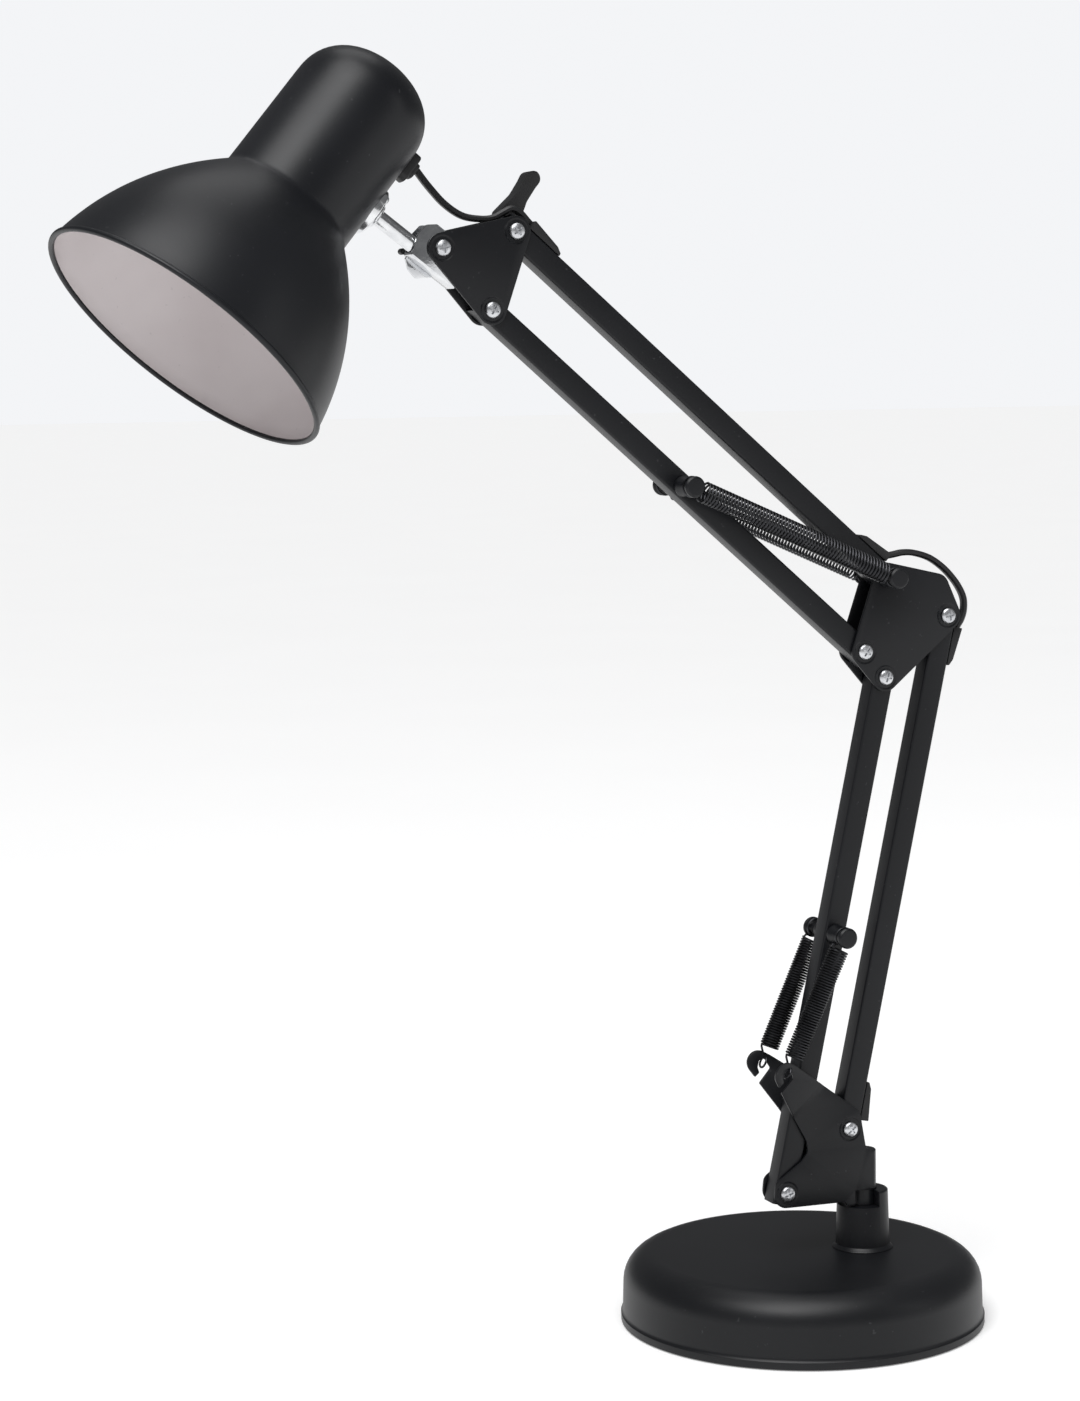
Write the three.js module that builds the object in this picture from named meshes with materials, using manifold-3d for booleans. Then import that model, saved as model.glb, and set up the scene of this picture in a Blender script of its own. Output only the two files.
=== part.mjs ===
// Swing arm desk lamp: a weighted round base, a swivelling foot bracket, two spring-held
// parallelogram arms, and a tilting, swivelling metal shade on a short stem.
// Millimetres, +Z up. The origin is the middle of the base's underside, the arms fold in a
// plane parallel to XZ, and the shade hangs out over -X.
import * as THREE from "three";
import { mergeVertices } from "three/addons/utils/BufferGeometryUtils.js";
import Module from "manifold-3d";

const wasm = await Module();
wasm.setup();

// ---------------------------------------------------------------- driving dimensions
const GAP = 0.3; // air between neighbours that touch on the real lamp

// base
const BASE_RADIUS = 95;
const BASE_HEIGHT = 36.6;
const SHOULDER = 16; // radius of the rounded shoulder
const SHEET = 1.5; // thickness of the pressed steel
const PAD_THICKNESS = 2;
const POST = new THREE.Vector2(32, -7.5); // the swivel post's axis, off the base's middle
const POST_RADIUS = 7.1;
const POST_TOP = 89;
const COLLAR_RADIUS = 14;
const COLLAR_TOP = 68;
const NOTCH_FLOOR = 60; // the collar's notch, which stops the swivel
const NOTCH_WALL = 3.4;
const COLLAR_FLOOR = 7;
const SCREW_HEAD_RADIUS = 6;

// arms: pivots are (x, z) in the arm plane, measured from the foot of the post
const BAR = 12; // square tube
const BAR_WALL = 1;
const BAR_END = 6.5; // tube beyond its pivot
const LOWER_SPAN = 273;
const LOWER_ANGLE = 77.7; // degrees above +X
const UPPER_SPAN = 268.7;
const UPPER_ANGLE = 139;
const P2 = new THREE.Vector2(-11, 102);
const P1 = P2.clone().sub(new THREE.Vector2(36.5, 30.6));
const Q1 = P1.clone().add(polar(LOWER_SPAN, LOWER_ANGLE));
const Q2 = P2.clone().add(polar(LOWER_SPAN, LOWER_ANGLE));
const R1 = Q1.clone().add(new THREE.Vector2(-11.8, 13.7));
const R2 = R1.clone().add(new THREE.Vector2(13.2, 38.1));
const S1 = R1.clone().add(polar(UPPER_SPAN, UPPER_ANGLE));
const S2 = R2.clone().add(polar(UPPER_SPAN, UPPER_ANGLE));
const TILT = S2.clone().add(new THREE.Vector2(-38.5, -8.2)); // the head's tilt pivot

// brackets and fasteners
const PLATE_IN = BAR / 2 + GAP; // inner face of a bracket plate, from the arm plane
const PLATE_OUT = PLATE_IN + SHEET;
const CORNER = 7.5; // corner radius round a pivot
const BOLT_RADIUS = 2;
const HOLE_RADIUS = BOLT_RADIUS + GAP;
const HEAD_RADIUS = 4;
const HEAD_HEIGHT = 2.2;
const NUT_RADIUS = 4;
const NUT_HEIGHT = 3.2;

// springs and their pegs
const SPRING_OFFSET = 16.5; // from the arm plane
const SPRING_RADIUS = 5;
const WIRE_RADIUS = 0.8;
const EYE_RADIUS = 4.4; // the loop round a peg's groove
const LOWER_PEG = P1.clone().lerp(Q1, 0.502);
const UPPER_PEG = R1.clone().lerp(S1, 0.498);
const HOOK_SEAT = new THREE.Vector2(-50.5, 137.2);
const HOOK_OFFSET = 15.4;

// head
const STEM_ANGLE = 143; // the stem's way out to the shade, degrees above +X
const STEM_RADIUS = 4;
const STEM_DROP = 6.4; // the stem's axis passes this far below the tilt pivot
const STEM_REACH = 38; // from beside the tilt pivot to the neck's surface
const AIM_ANGLE = 229.2; // the way the shade points, degrees above +X
const SHADE_TURN = 6.7; // the shade's turn about the stem at rest
const NECK_RADIUS = 34.5;
const DOME_HEIGHT = 28;
const NECK_LENGTH = 87.7; // dome top to the start of the bell
const BELL_LENGTH = 82;
const RIM_RADIUS = 76.2;
const BELL_START = 45; // the bell's slope against its axis, degrees
const BELL_END = 7.5;
const SHADE_WALL = 1;
const STEM_STATION = 62; // where the stem meets the neck, from the dome's top
const HOLDER_RADIUS = 19;
const SWITCH_STATION = 40;

// flex and lead: a flat twin cord
const FLEX_WIDTH = 4.4;
const FLEX_THICKNESS = 3.6;
const LEAD_WIDTH = 4;
const COIL_RADIUS = 27.5; // middle of the turns
const COIL_HALF_WIDTH = 8;
const COIL_HEIGHT = 11.4;
const COIL_CENTRE = new THREE.Vector2(63, 117.2);
const LEAD_EXIT = new THREE.Vector2(-15, 84); // (x, z) of the hole in the far foot plate
const LEAD_HOLE = 3.6;
const GLAND_LENGTH = 12;
const PLUG_START = new THREE.Vector2(32, 139.1);
const PLUG_HEADING = 203.9; // degrees from +X towards +Y

// ---------------------------------------------------------------- colours
const finish = (color, roughness, metalness) =>
  new THREE.MeshStandardMaterial({ color, roughness, metalness });
const blackPaint = finish(0x1b1c1f, 0.42, 0.1);
const blackPlastic = finish(0x161719, 0.55, 0);
const springBlack = finish(0x202124, 0.35, 0.8);
const zinc = finish(0xc9ccd0, 0.3, 1);
const chrome = finish(0xd8dadc, 0.12, 1);
const castIron = finish(0x4a4a4c, 0.8, 0.8);
const foam = finish(0x101010, 0.95, 0);
const frosted = finish(0xf4f1ea, 0.4, 0);
const ceramic = finish(0xe9e6df, 0.35, 0);
const flexRubber = finish(0x141416, 0.6, 0);

// ---------------------------------------------------------------- helpers
function polar(length, degrees) {
  const angle = THREE.MathUtils.degToRad(degrees);
  return new THREE.Vector2(length * Math.cos(angle), length * Math.sin(angle));
}

const toSpace = (point, y = 0) => new THREE.Vector3(point.x, y, point.y);

// A closed geometry as a solid that can be cut and joined.
function toSolid(geometry) {
  const bare = geometry.index ? geometry.toNonIndexed() : geometry.clone();
  bare.deleteAttribute("normal");
  bare.deleteAttribute("uv");
  const merged = mergeVertices(bare, 1e-4);
  return new wasm.Manifold(
    new wasm.Mesh({
      numProp: 3,
      vertProperties: merged.attributes.position.array,
      triVerts: new Uint32Array(merged.index.array),
    }),
  );
}

function toGeometry(solid) {
  const mesh = solid.getMesh();
  const geometry = new THREE.BufferGeometry();
  const corners = new THREE.BufferAttribute(mesh.vertProperties, mesh.numProp);
  const positions = new Float32Array(mesh.triVerts.length * 3);
  mesh.triVerts.forEach((corner, i) => {
    positions.set([corners.getX(corner), corners.getY(corner), corners.getZ(corner)], i * 3);
  });
  geometry.setAttribute("position", new THREE.BufferAttribute(positions, 3));
  geometry.computeVertexNormals();
  return geometry;
}

const cut = (body, ...tools) =>
  toGeometry(tools.reduce((solid, tool) => solid.subtract(toSolid(tool)), toSolid(body)));
const join = (...pieces) =>
  toGeometry(pieces.slice(1).reduce((solid, piece) => solid.add(toSolid(piece)), toSolid(pieces[0])));

// A solid of revolution about Y from [radius, y] corners that run anticlockwise.
function turned(corners, segments = 10) {
  return new THREE.LatheGeometry(
    corners.map(([radius, y]) => new THREE.Vector2(radius, y)),
    segments,
  );
}

// A rod about Y.
const rod = (radius, from, to, segments = 10) =>
  turned([[0, from], [radius, from], [radius, to], [0, to]], segments);

// A ring about Y.
const ring = (inner, outer, from, to, segments = 12) =>
  turned([[inner, from], [outer, from], [outer, to], [inner, to], [inner, from]], segments);

// Turns a solid made about Y so that it stands along Z.
const upright = (geometry) => geometry.rotateX(Math.PI / 2);

// A flat piece parallel to XZ, from y = near to y = far; the shape's y is the part's z.
function slab(shape, near, far, curveSegments = 3) {
  const geometry = new THREE.ExtrudeGeometry(shape, {
    depth: far - near,
    bevelEnabled: false,
    curveSegments,
  });
  return geometry.rotateX(Math.PI / 2).translate(0, far, 0);
}

// The outline round a convex ring of pivots, given anticlockwise.
function hullOutline(pivots, radius) {
  const shape = new THREE.Shape();
  pivots.forEach((pivot, i) => {
    const before = pivots.at(i - 1);
    const after = pivots[(i + 1) % pivots.length];
    const start = Math.atan2(before.x - pivot.x, pivot.y - before.y);
    const end = Math.atan2(pivot.x - after.x, after.y - pivot.y);
    shape.absarc(pivot.x, pivot.y, radius, start, end, false);
  });
  shape.closePath();
  return shape;
}

// An outline through [x, z, corner radius] points.
function roundedOutline(points) {
  const shape = new THREE.Shape();
  points.forEach(([x, z, radius], i) => {
    const corner = new THREE.Vector2(x, z);
    const [bx, bz] = points.at(i - 1);
    const [ax, az] = points[(i + 1) % points.length];
    const back = new THREE.Vector2(bx - x, bz - z).normalize();
    const ahead = new THREE.Vector2(ax - x, az - z).normalize();
    if (!radius) {
      if (i) shape.lineTo(x, z);
      else shape.moveTo(x, z);
      return;
    }
    const half = Math.acos(THREE.MathUtils.clamp(back.dot(ahead), -1, 1)) / 2;
    const reach = radius / Math.tan(half);
    const middle = back.clone().add(ahead).normalize();
    const centre = corner.clone().addScaledVector(middle, radius / Math.sin(half));
    const from = corner.clone().addScaledVector(back, reach).sub(centre);
    const to = corner.clone().addScaledVector(ahead, reach).sub(centre);
    shape.absarc(centre.x, centre.y, radius, from.angle(), to.angle(), from.cross(to) < 0);
  });
  shape.closePath();
  return shape;
}

function drill(shape, pivots, radius = HOLE_RADIUS) {
  for (const pivot of pivots) {
    const hole = new THREE.Path();
    hole.absarc(pivot.x, pivot.y, radius, 0, 2 * Math.PI, true);
    shape.holes.push(hole);
  }
  return shape;
}

// An oval section swept along a curve.
function cord(points, steps, width, thickness) {
  const section = new THREE.Shape();
  section.absellipse(0, 0, thickness / 2, width / 2, 0, 2 * Math.PI, false, 0);
  const path = new THREE.CatmullRomCurve3(points.map((point) => new THREE.Vector3(...point)));
  const options = { steps, extrudePath: path, bevelEnabled: false, curveSegments: 4 };
  return new THREE.ExtrudeGeometry(section, options);
}

function add(group, name, geometry, material) {
  const mesh = new THREE.Mesh(geometry, material);
  mesh.name = name;
  group.add(mesh);
  return mesh;
}

const lamp = new THREE.Group();
const arm = new THREE.Group();
arm.position.set(POST.x, POST.y, 0);
lamp.add(arm);

// ---------------------------------------------------------------- base
// The pressed cover's outer or inner wall, from its hem up to the middle of the top.
function coverWall(inset) {
  const wall = [
    [BASE_RADIUS - inset, 0.6],
    [BASE_RADIUS - inset, 3.5],
    [BASE_RADIUS - 1.4 - inset, BASE_HEIGHT - SHOULDER],
  ];
  const steps = 4;
  for (let i = 1; i <= steps; i++) {
    const turn = (i / steps) * (Math.PI / 2);
    wall.push([
      BASE_RADIUS - 1.4 - SHOULDER + (SHOULDER - inset) * Math.cos(turn),
      BASE_HEIGHT - SHOULDER + (SHOULDER - inset) * Math.sin(turn),
    ]);
  }
  wall.push([0, BASE_HEIGHT - inset]);
  return wall;
}

function makeBase() {
  const cover = upright(turned([...coverWall(SHEET).reverse(), ...coverWall(0)], 48));
  const screwHole = upright(rod(3 + GAP, 20, BASE_HEIGHT + 1, 10)).translate(POST.x, POST.y, 0);
  add(lamp, "base_cover", cut(cover, screwHole), blackPaint);

  const weight = upright(rod(BASE_RADIUS - 5, PAD_THICKNESS + GAP, 14, 32));
  const pocket = upright(rod(SCREW_HEAD_RADIUS + 4, 1, 15)).translate(POST.x, POST.y, 0);
  add(lamp, "base_weight", cut(weight, pocket), castIron);
  add(lamp, "base_pad", upright(rod(BASE_RADIUS - SHEET - 1, 0, PAD_THICKNESS, 32)), foam);

  // the socket that the post turns in, open from above and notched on the arm's side
  const foot = BASE_HEIGHT + GAP;
  const bore = POST_RADIUS + GAP;
  const collar = upright(
    turned(
      [
        [3 + GAP, foot],
        [COLLAR_RADIUS + 1.6, foot],
        [COLLAR_RADIUS + 1.6, foot + 1.6],
        [COLLAR_RADIUS, foot + 2.2],
        [COLLAR_RADIUS - 0.7, COLLAR_TOP - 1],
        [COLLAR_RADIUS - 1.7, COLLAR_TOP],
        [bore, COLLAR_TOP],
        [bore, foot + COLLAR_FLOOR],
        [3 + GAP, foot + COLLAR_FLOOR],
        [3 + GAP, foot],
      ],
      20,
    ),
  );
  const notch = new THREE.BoxGeometry(40, 60, 20);
  notch.translate(NOTCH_WALL - 20, 0, NOTCH_FLOOR + 10);
  add(arm, "post_collar", cut(collar, notch), blackPaint);

  const under = BASE_HEIGHT - SHEET - GAP;
  const screw = [
    [0, under - 3.4],
    [SCREW_HEAD_RADIUS, under - 3.4],
    [SCREW_HEAD_RADIUS, under],
    [3, under],
    [3, under + 8],
    [0, under + 8],
  ];
  add(arm, "collar_screw", upright(turned(screw)), zinc);
}

// ---------------------------------------------------------------- fasteners across the arm plane
// Pan head on the -Y side, plain shank through both plates.
function bolt(group, name, pivot, tip = PLATE_OUT + GAP + NUT_HEIGHT + 1) {
  const seat = -PLATE_OUT - GAP;
  const profile = [
    [0, seat - HEAD_HEIGHT],
    [HEAD_RADIUS * 0.55, seat - HEAD_HEIGHT * 0.93],
    [HEAD_RADIUS * 0.92, seat - HEAD_HEIGHT * 0.62],
    [HEAD_RADIUS, seat - HEAD_HEIGHT * 0.3],
    [HEAD_RADIUS, seat],
    [BOLT_RADIUS, seat],
    [BOLT_RADIUS, tip],
    [0, tip],
  ];
  add(group, name, turned(profile), zinc).position.copy(toSpace(pivot));
}

// Lock nut on the +Y side.
function nut(group, name, pivot) {
  const seat = PLATE_OUT + GAP;
  const hexagon = new THREE.CylinderGeometry(NUT_RADIUS, NUT_RADIUS, NUT_HEIGHT, 6);
  hexagon.translate(0, seat + NUT_HEIGHT / 2, 0);
  const body = cut(hexagon, rod(HOLE_RADIUS, seat - 1, seat + NUT_HEIGHT + 1));
  add(group, name, body, zinc).position.copy(toSpace(pivot));
}

// Two-winged hand nut on the +Y side, its wings in line with `degrees`.
function wingNut(group, name, pivot, seat, hubRadius, hubHeight, reach, degrees) {
  const hub = turned(
    [
      [HOLE_RADIUS, seat],
      [hubRadius, seat],
      [hubRadius * 0.8, seat + hubHeight],
      [HOLE_RADIUS, seat + hubHeight],
      [HOLE_RADIUS, seat],
    ],
    12,
  );
  // one wing's side view: along the reach and outwards from the seat
  const low = seat + hubHeight * 0.72;
  const wing = new THREE.Shape();
  wing.moveTo(hubRadius * 0.5, low);
  wing.lineTo(reach - 4, low + hubHeight * 0.35);
  wing.quadraticCurveTo(reach, low + hubHeight * 0.35, reach, low + hubHeight * 0.75);
  wing.quadraticCurveTo(reach, low + hubHeight * 1.1, reach - 5, low + hubHeight * 1.1);
  wing.lineTo(hubRadius * 0.5, low + hubHeight * 0.26);
  wing.closePath();
  const thick = reach * 0.15;
  const blade = new THREE.ExtrudeGeometry(wing, { depth: thick, bevelEnabled: false, curveSegments: 3 });
  blade.translate(0, 0, -thick / 2);
  const body = join(hub, blade, blade.clone().rotateY(Math.PI));
  const mesh = add(group, name, cut(body, rod(HOLE_RADIUS, seat - 1, 60)), blackPlastic);
  mesh.position.copy(toSpace(pivot));
  mesh.rotation.y = -THREE.MathUtils.degToRad(degrees);
}

// A turned peg through a bar, flared on both sides, grooved where the spring eyes sit.
function springPeg(group, name, pivot, face) {
  const groove = SPRING_OFFSET - 1.5;
  const side = [
    [BOLT_RADIUS, face],
    [5.4, face],
    [5.4, face + 1.2],
    [3.1, groove - 0.6],
    [3.1, groove + 3],
    [5.5, groove + 3.6],
    [5.5, groove + 5.2],
    [4.9, groove + 5.8],
    [0, groove + 5.8],
  ];
  const profile = [...side.map(([radius, y]) => [radius, -y]).reverse(), ...side];
  add(group, name, turned(profile, 10), blackPaint).position.copy(toSpace(pivot));
}

// ---------------------------------------------------------------- foot bracket
function hookPlate() {
  const flat = roundedOutline([
    [P1.x - 8, P1.y - 7.6, 7],
    [-14.2, 63.4, 0],
    [-12.6, 61, 0],
    [-8, 61, 1],
    [-8, COLLAR_TOP + 0.8, 0],
    [2.8, COLLAR_TOP + 0.8, 0],
    [2.8, POST_TOP - 0.4, 0],
    [-1.6, POST_TOP + 2, 4],
    [-3.2, 100, 8],
    [-5, 111, 6],
    [-37, 134.6, 0],
    [-44.6, 120.2, 0],
    [-36.4, 98.4, 2],
    [-35.4, 92.4, 4],
    [-39.5, 87.4, 3],
    [-54, 77.5, 5],
  ]);
  const plate = slab(drill(flat, [P1, P2]), PLATE_IN, PLATE_OUT);
  // the spring hook, bent outwards past the line where it leaves the flat
  const hook = roundedOutline([
    [-37.6, 108.8, 0],
    [-28.5, 127.9, 0],
    [-46.2, 140.3, 5],
    [-53.6, 144.6, 6],
    [-60, 136.6, 6],
    [-55.3, 129.4, 0],
    [-52.8, 131.6, 0],
    [-53.4, 134.4, 1.6],
    [-52, 138.6, 2],
    [-49.2, 138.4, 1.6],
    [-46.8, 133.6, 1],
    [-53.4, 126.2, 0.6],
  ]);
  const bent = slab(hook, PLATE_IN, PLATE_OUT);
  const position = bent.getAttribute("position");
  const root = new THREE.Vector2(-34, 118.6);
  const along = new THREE.Vector2(-0.66, 0.75).normalize();
  const slope = (HOOK_OFFSET - PLATE_OUT + SHEET / 2) / HOOK_SEAT.clone().sub(root).dot(along);
  for (let i = 0; i < position.count; i++) {
    const reach = (position.getX(i) - root.x) * along.x + (position.getZ(i) - root.y) * along.y;
    position.setY(i, position.getY(i) + Math.max(0, reach) * slope);
  }
  return join(plate, bent);
}

// The same piece on the other side of the arm plane.
function mirrored(geometry) {
  const copy = geometry.clone().scale(1, -1, 1);
  const corners = copy.getAttribute("position");
  for (let i = 0; i < corners.count; i += 3) {
    const [x, y, z] = [corners.getX(i), corners.getY(i), corners.getZ(i)];
    corners.setXYZ(i, corners.getX(i + 1), corners.getY(i + 1), corners.getZ(i + 1));
    corners.setXYZ(i + 1, x, y, z);
  }
  return copy;
}

function makeFoot() {
  const bottom = BASE_HEIGHT + 2 * GAP + COLLAR_FLOOR;
  const post = upright(rod(POST_RADIUS, bottom, POST_TOP, 16));
  const trims = [-1, 1].map((side) =>
    new THREE.BoxGeometry(30, 10, 40).translate(0, side * (BAR / 2 + 5), COLLAR_TOP + 20.5),
  );
  add(arm, "swivel_post", cut(post, ...trims), blackPaint);
  const plate = hookPlate();
  add(arm, "foot_plate_near", mirrored(plate), blackPaint);
  const leadHole = rod(LEAD_HOLE, 0, 20).translate(LEAD_EXIT.x, 0, LEAD_EXIT.y);
  add(arm, "foot_plate_far", cut(plate, leadHole), blackPaint);
  for (const [pivot, name] of [[P1, "front"], [P2, "rear"]]) {
    bolt(arm, `foot_${name}_bolt`, pivot);
    nut(arm, `foot_${name}_nut`, pivot);
  }
}

// ---------------------------------------------------------------- bars
// A square tube between two pivots, drilled at both and wherever else `extra` says.
function bar(name, from, to, extra = []) {
  const half = BAR / 2;
  const bore = half - BAR_WALL;
  const run = to.clone().sub(from);
  const length = run.length();
  const outer = [[-half, -half], [half, -half], [half, half], [-half, half]];
  const section = roundedOutline(outer.map((corner) => [...corner, 1.2]));
  const hollow = new THREE.Path();
  const inner = [[-bore, -bore], [-bore, bore], [bore, bore], [bore, -bore]];
  hollow.setFromPoints(inner.map(([x, y]) => new THREE.Vector2(x, y)));
  section.holes.push(hollow);
  const options = { depth: length + 2 * BAR_END, bevelEnabled: false, curveSegments: 1 };
  const tube = new THREE.ExtrudeGeometry(section, options).translate(0, 0, -BAR_END);
  const holes = [0, length, ...extra].map((z) => rod(HOLE_RADIUS, -BAR, BAR).translate(0, 0, z));
  const mesh = add(arm, name, cut(tube, ...holes), blackPaint);
  mesh.position.copy(toSpace(from));
  mesh.rotation.y = Math.PI / 2 - run.angle();
}

// The moulded clip over a tube's outer side, where the flex runs in or out.
function cableGuard(name, pivot, along, outward) {
  const start = 5;
  const end = 25.5;
  const rise = 4.2;
  const skin = BAR / 2 + GAP;
  const at = (t, w) => pivot.clone().addScaledVector(along, t).addScaledVector(outward, w);
  const corners = [
    at(start, skin),
    at(end, skin),
    at(end - 1, skin + rise * 0.3),
    at(end - 9, skin + rise * 0.7),
    at(start, skin + rise),
  ];
  if (along.cross(outward) < 0) corners.reverse();
  add(arm, name, slab(new THREE.Shape(corners), -5.4, 5.4), blackPlastic);
}

function makeArms() {
  const lower = polar(1, LOWER_ANGLE);
  const upper = polar(1, UPPER_ANGLE);
  bar("lower_front_bar", P1, Q1, [LOWER_PEG.distanceTo(P1)]);
  bar("lower_rear_bar", P2, Q2);
  bar("upper_lower_bar", R1, S1, [UPPER_PEG.distanceTo(R1)]);
  bar("upper_upper_bar", R2, S2);
  const rearSide = polar(1, LOWER_ANGLE - 90);
  const topSide = polar(1, UPPER_ANGLE - 90);
  cableGuard("cable_guard_foot", P2, lower, rearSide);
  cableGuard("cable_guard_elbow_lower", Q2, lower.clone().negate(), rearSide);
  cableGuard("cable_guard_elbow_upper", R2, upper, topSide);
  cableGuard("cable_guard_head", S2, upper.clone().negate(), topSide);
  springPeg(arm, "lower_spring_peg", LOWER_PEG, BAR / 2 + GAP);
  springPeg(arm, "upper_spring_peg", UPPER_PEG, BAR / 2 + GAP);
}

// ---------------------------------------------------------------- elbow
function makeElbow() {
  const rearTop = new THREE.Vector2(40.5, 383.5);
  const outline = () => drill(hullOutline([Q1, Q2, rearTop, R2, R1], CORNER), [Q1, Q2, R1, R2]);
  add(arm, "elbow_plate_near", slab(outline(), -PLATE_OUT, -PLATE_IN), blackPaint);
  add(arm, "elbow_plate_far", slab(outline(), PLATE_IN, PLATE_OUT), blackPaint);
  for (const [pivot, name] of [[Q1, "front"], [Q2, "rear"], [R1, "upper"]]) {
    bolt(arm, `elbow_${name}_bolt`, pivot);
    nut(arm, `elbow_${name}_nut`, pivot);
  }
  springPeg(arm, "elbow_spring_peg", R2, PLATE_OUT + GAP);
}

// ---------------------------------------------------------------- springs
// A coil's outer form with its two end eyes, from eye centre to eye centre.
function spring(name, top, topY, topEye, foot, footY, footEye, body) {
  const start = toSpace(top, topY);
  const end = toSpace(foot, footY);
  const way = end.clone().sub(start);
  const length = way.length();
  const [from, to] = body;
  const coil = new THREE.CylinderGeometry(SPRING_RADIUS, SPRING_RADIUS, to - from, 12);
  coil.translate(0, (from + to) / 2, 0);
  const wire = WIRE_RADIUS * 1.6;
  const leads = [
    rod(wire, topEye - 0.4, from + 1, 6),
    rod(wire, to - 1, length - footEye + 0.4, 6),
  ];
  const form = join(coil, ...leads);
  const turn = new THREE.Quaternion().setFromUnitVectors(new THREE.Vector3(0, 1, 0), way.clone().normalize());
  const placed = form.applyQuaternion(turn).translate(...start);
  const eyes = [[start, topEye], [end, footEye]].map(([centre, radius]) => {
    if (radius < WIRE_RADIUS * 2) return new THREE.SphereGeometry(radius + 0.6, 10, 8).translate(...centre);
    return ring(radius - WIRE_RADIUS, radius + WIRE_RADIUS, -WIRE_RADIUS, WIRE_RADIUS).translate(...centre);
  });
  add(arm, name, join(placed, ...eyes), springBlack);
}

function makeSprings() {
  for (const [side, name] of [[-1, "near"], [1, "far"]]) {
    const run = LOWER_PEG.distanceTo(HOOK_SEAT);
    const hookEye = HOOK_SEAT.clone().add(new THREE.Vector2(1.6, 4.6));
    const offset = side * SPRING_OFFSET;
    const hookSide = side * (HOOK_OFFSET + 3.6);
    const lowerCoils = [EYE_RADIUS + 1.4, run - 13];
    spring(`lower_spring_${name}`, LOWER_PEG, offset, EYE_RADIUS, hookEye, hookSide, 1.2, lowerCoils);
    const reach = UPPER_PEG.distanceTo(R2);
    const upperCoils = [EYE_RADIUS + 1.4, reach - EYE_RADIUS - 1.4];
    spring(`upper_spring_${name}`, UPPER_PEG, offset, EYE_RADIUS, R2, offset, EYE_RADIUS, upperCoils);
  }
}

// ---------------------------------------------------------------- head bracket
function makeHeadBracket() {
  const outline = () => drill(hullOutline([S1, S2, TILT], CORNER), [S1, S2, TILT]);
  add(arm, "head_plate_near", slab(outline(), -PLATE_OUT, -PLATE_IN), blackPaint);
  add(arm, "head_plate_far", slab(outline(), PLATE_IN, PLATE_OUT), blackPaint);
  bolt(arm, "head_lower_bolt", S1);
  nut(arm, "head_lower_nut", S1);
  const seat = PLATE_OUT + GAP;
  bolt(arm, "head_upper_bolt", S2, seat + 14);
  bolt(arm, "tilt_bolt", TILT, seat + 9);
  wingNut(arm, "arm_wing_nut", S2, seat, 9.4, 12, 34, 56);
  wingNut(arm, "tilt_wing_nut", TILT, seat, 6, 5, 15, 182);
}

// ---------------------------------------------------------------- head joint
const stemWay = polar(1, STEM_ANGLE);
const stemSide = polar(1, STEM_ANGLE - 90); // from the stem towards the tilt pivot
const STEM_FOOT = TILT.clone().addScaledVector(stemSide, -STEM_DROP);

// A folded channel that grips the stem and hangs on the tilt bolt between the plates.
function makeClamp() {
  const at = ([t, w, radius]) => {
    const point = STEM_FOOT.clone().addScaledVector(stemWay, t).addScaledVector(stemSide, w);
    return [point.x, point.y, radius];
  };
  const side = [
    [10.5, -5.6, 0.8],
    [13.6, 4.4, 1],
    [12.6, 11, 2],
    [8.2, 14.6, 2],
    [-1, 14.4, 3],
    [-8, 8, 4],
    [-16, -0.6, 2],
    [-17.5, -5.6, 1],
  ];
  const outline = drill(roundedOutline(side.map(at).reverse()), [TILT]);
  const channel = slab(outline, -PLATE_IN + 2 * GAP, PLATE_IN - 2 * GAP);
  const inside = new THREE.BoxGeometry(60, 2 * (STEM_RADIUS + GAP), 40);
  inside.translate(0, 0, 20 - STEM_RADIUS - GAP);
  inside.rotateY(Math.PI - THREE.MathUtils.degToRad(STEM_ANGLE)).translate(STEM_FOOT.x, 0, STEM_FOOT.y);
  add(arm, "head_clamp", cut(channel, inside), chrome);
}

// Everything that turns with the stem, about the stem's own axis.
const head = new THREE.Group();
head.position.copy(toSpace(STEM_FOOT));
head.quaternion.setFromAxisAngle(toSpace(stemWay), THREE.MathUtils.degToRad(SHADE_TURN));
arm.add(head);

const aim = polar(1, AIM_ANGLE);
const neckSide = polar(1, AIM_ANGLE + 90); // from the neck's axis towards the stem
const neckMiddle = stemWay.clone().multiplyScalar(
  STEM_REACH + NECK_RADIUS / Math.cos(THREE.MathUtils.degToRad(AIM_ANGLE - STEM_ANGLE - 90)),
);
const domeTop = neckMiddle.clone().addScaledVector(aim, -STEM_STATION);
const alongStem = new THREE.Quaternion().setFromUnitVectors(new THREE.Vector3(0, 1, 0), toSpace(stemWay));
const alongAim = new THREE.Quaternion().setFromUnitVectors(new THREE.Vector3(0, -1, 0), toSpace(aim));

// A solid turned about Y, with -Y along the shade's aim and y = 0 at the dome's top.
const onShade = (geometry) => geometry.applyQuaternion(alongAim).translate(...toSpace(domeTop));

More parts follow.
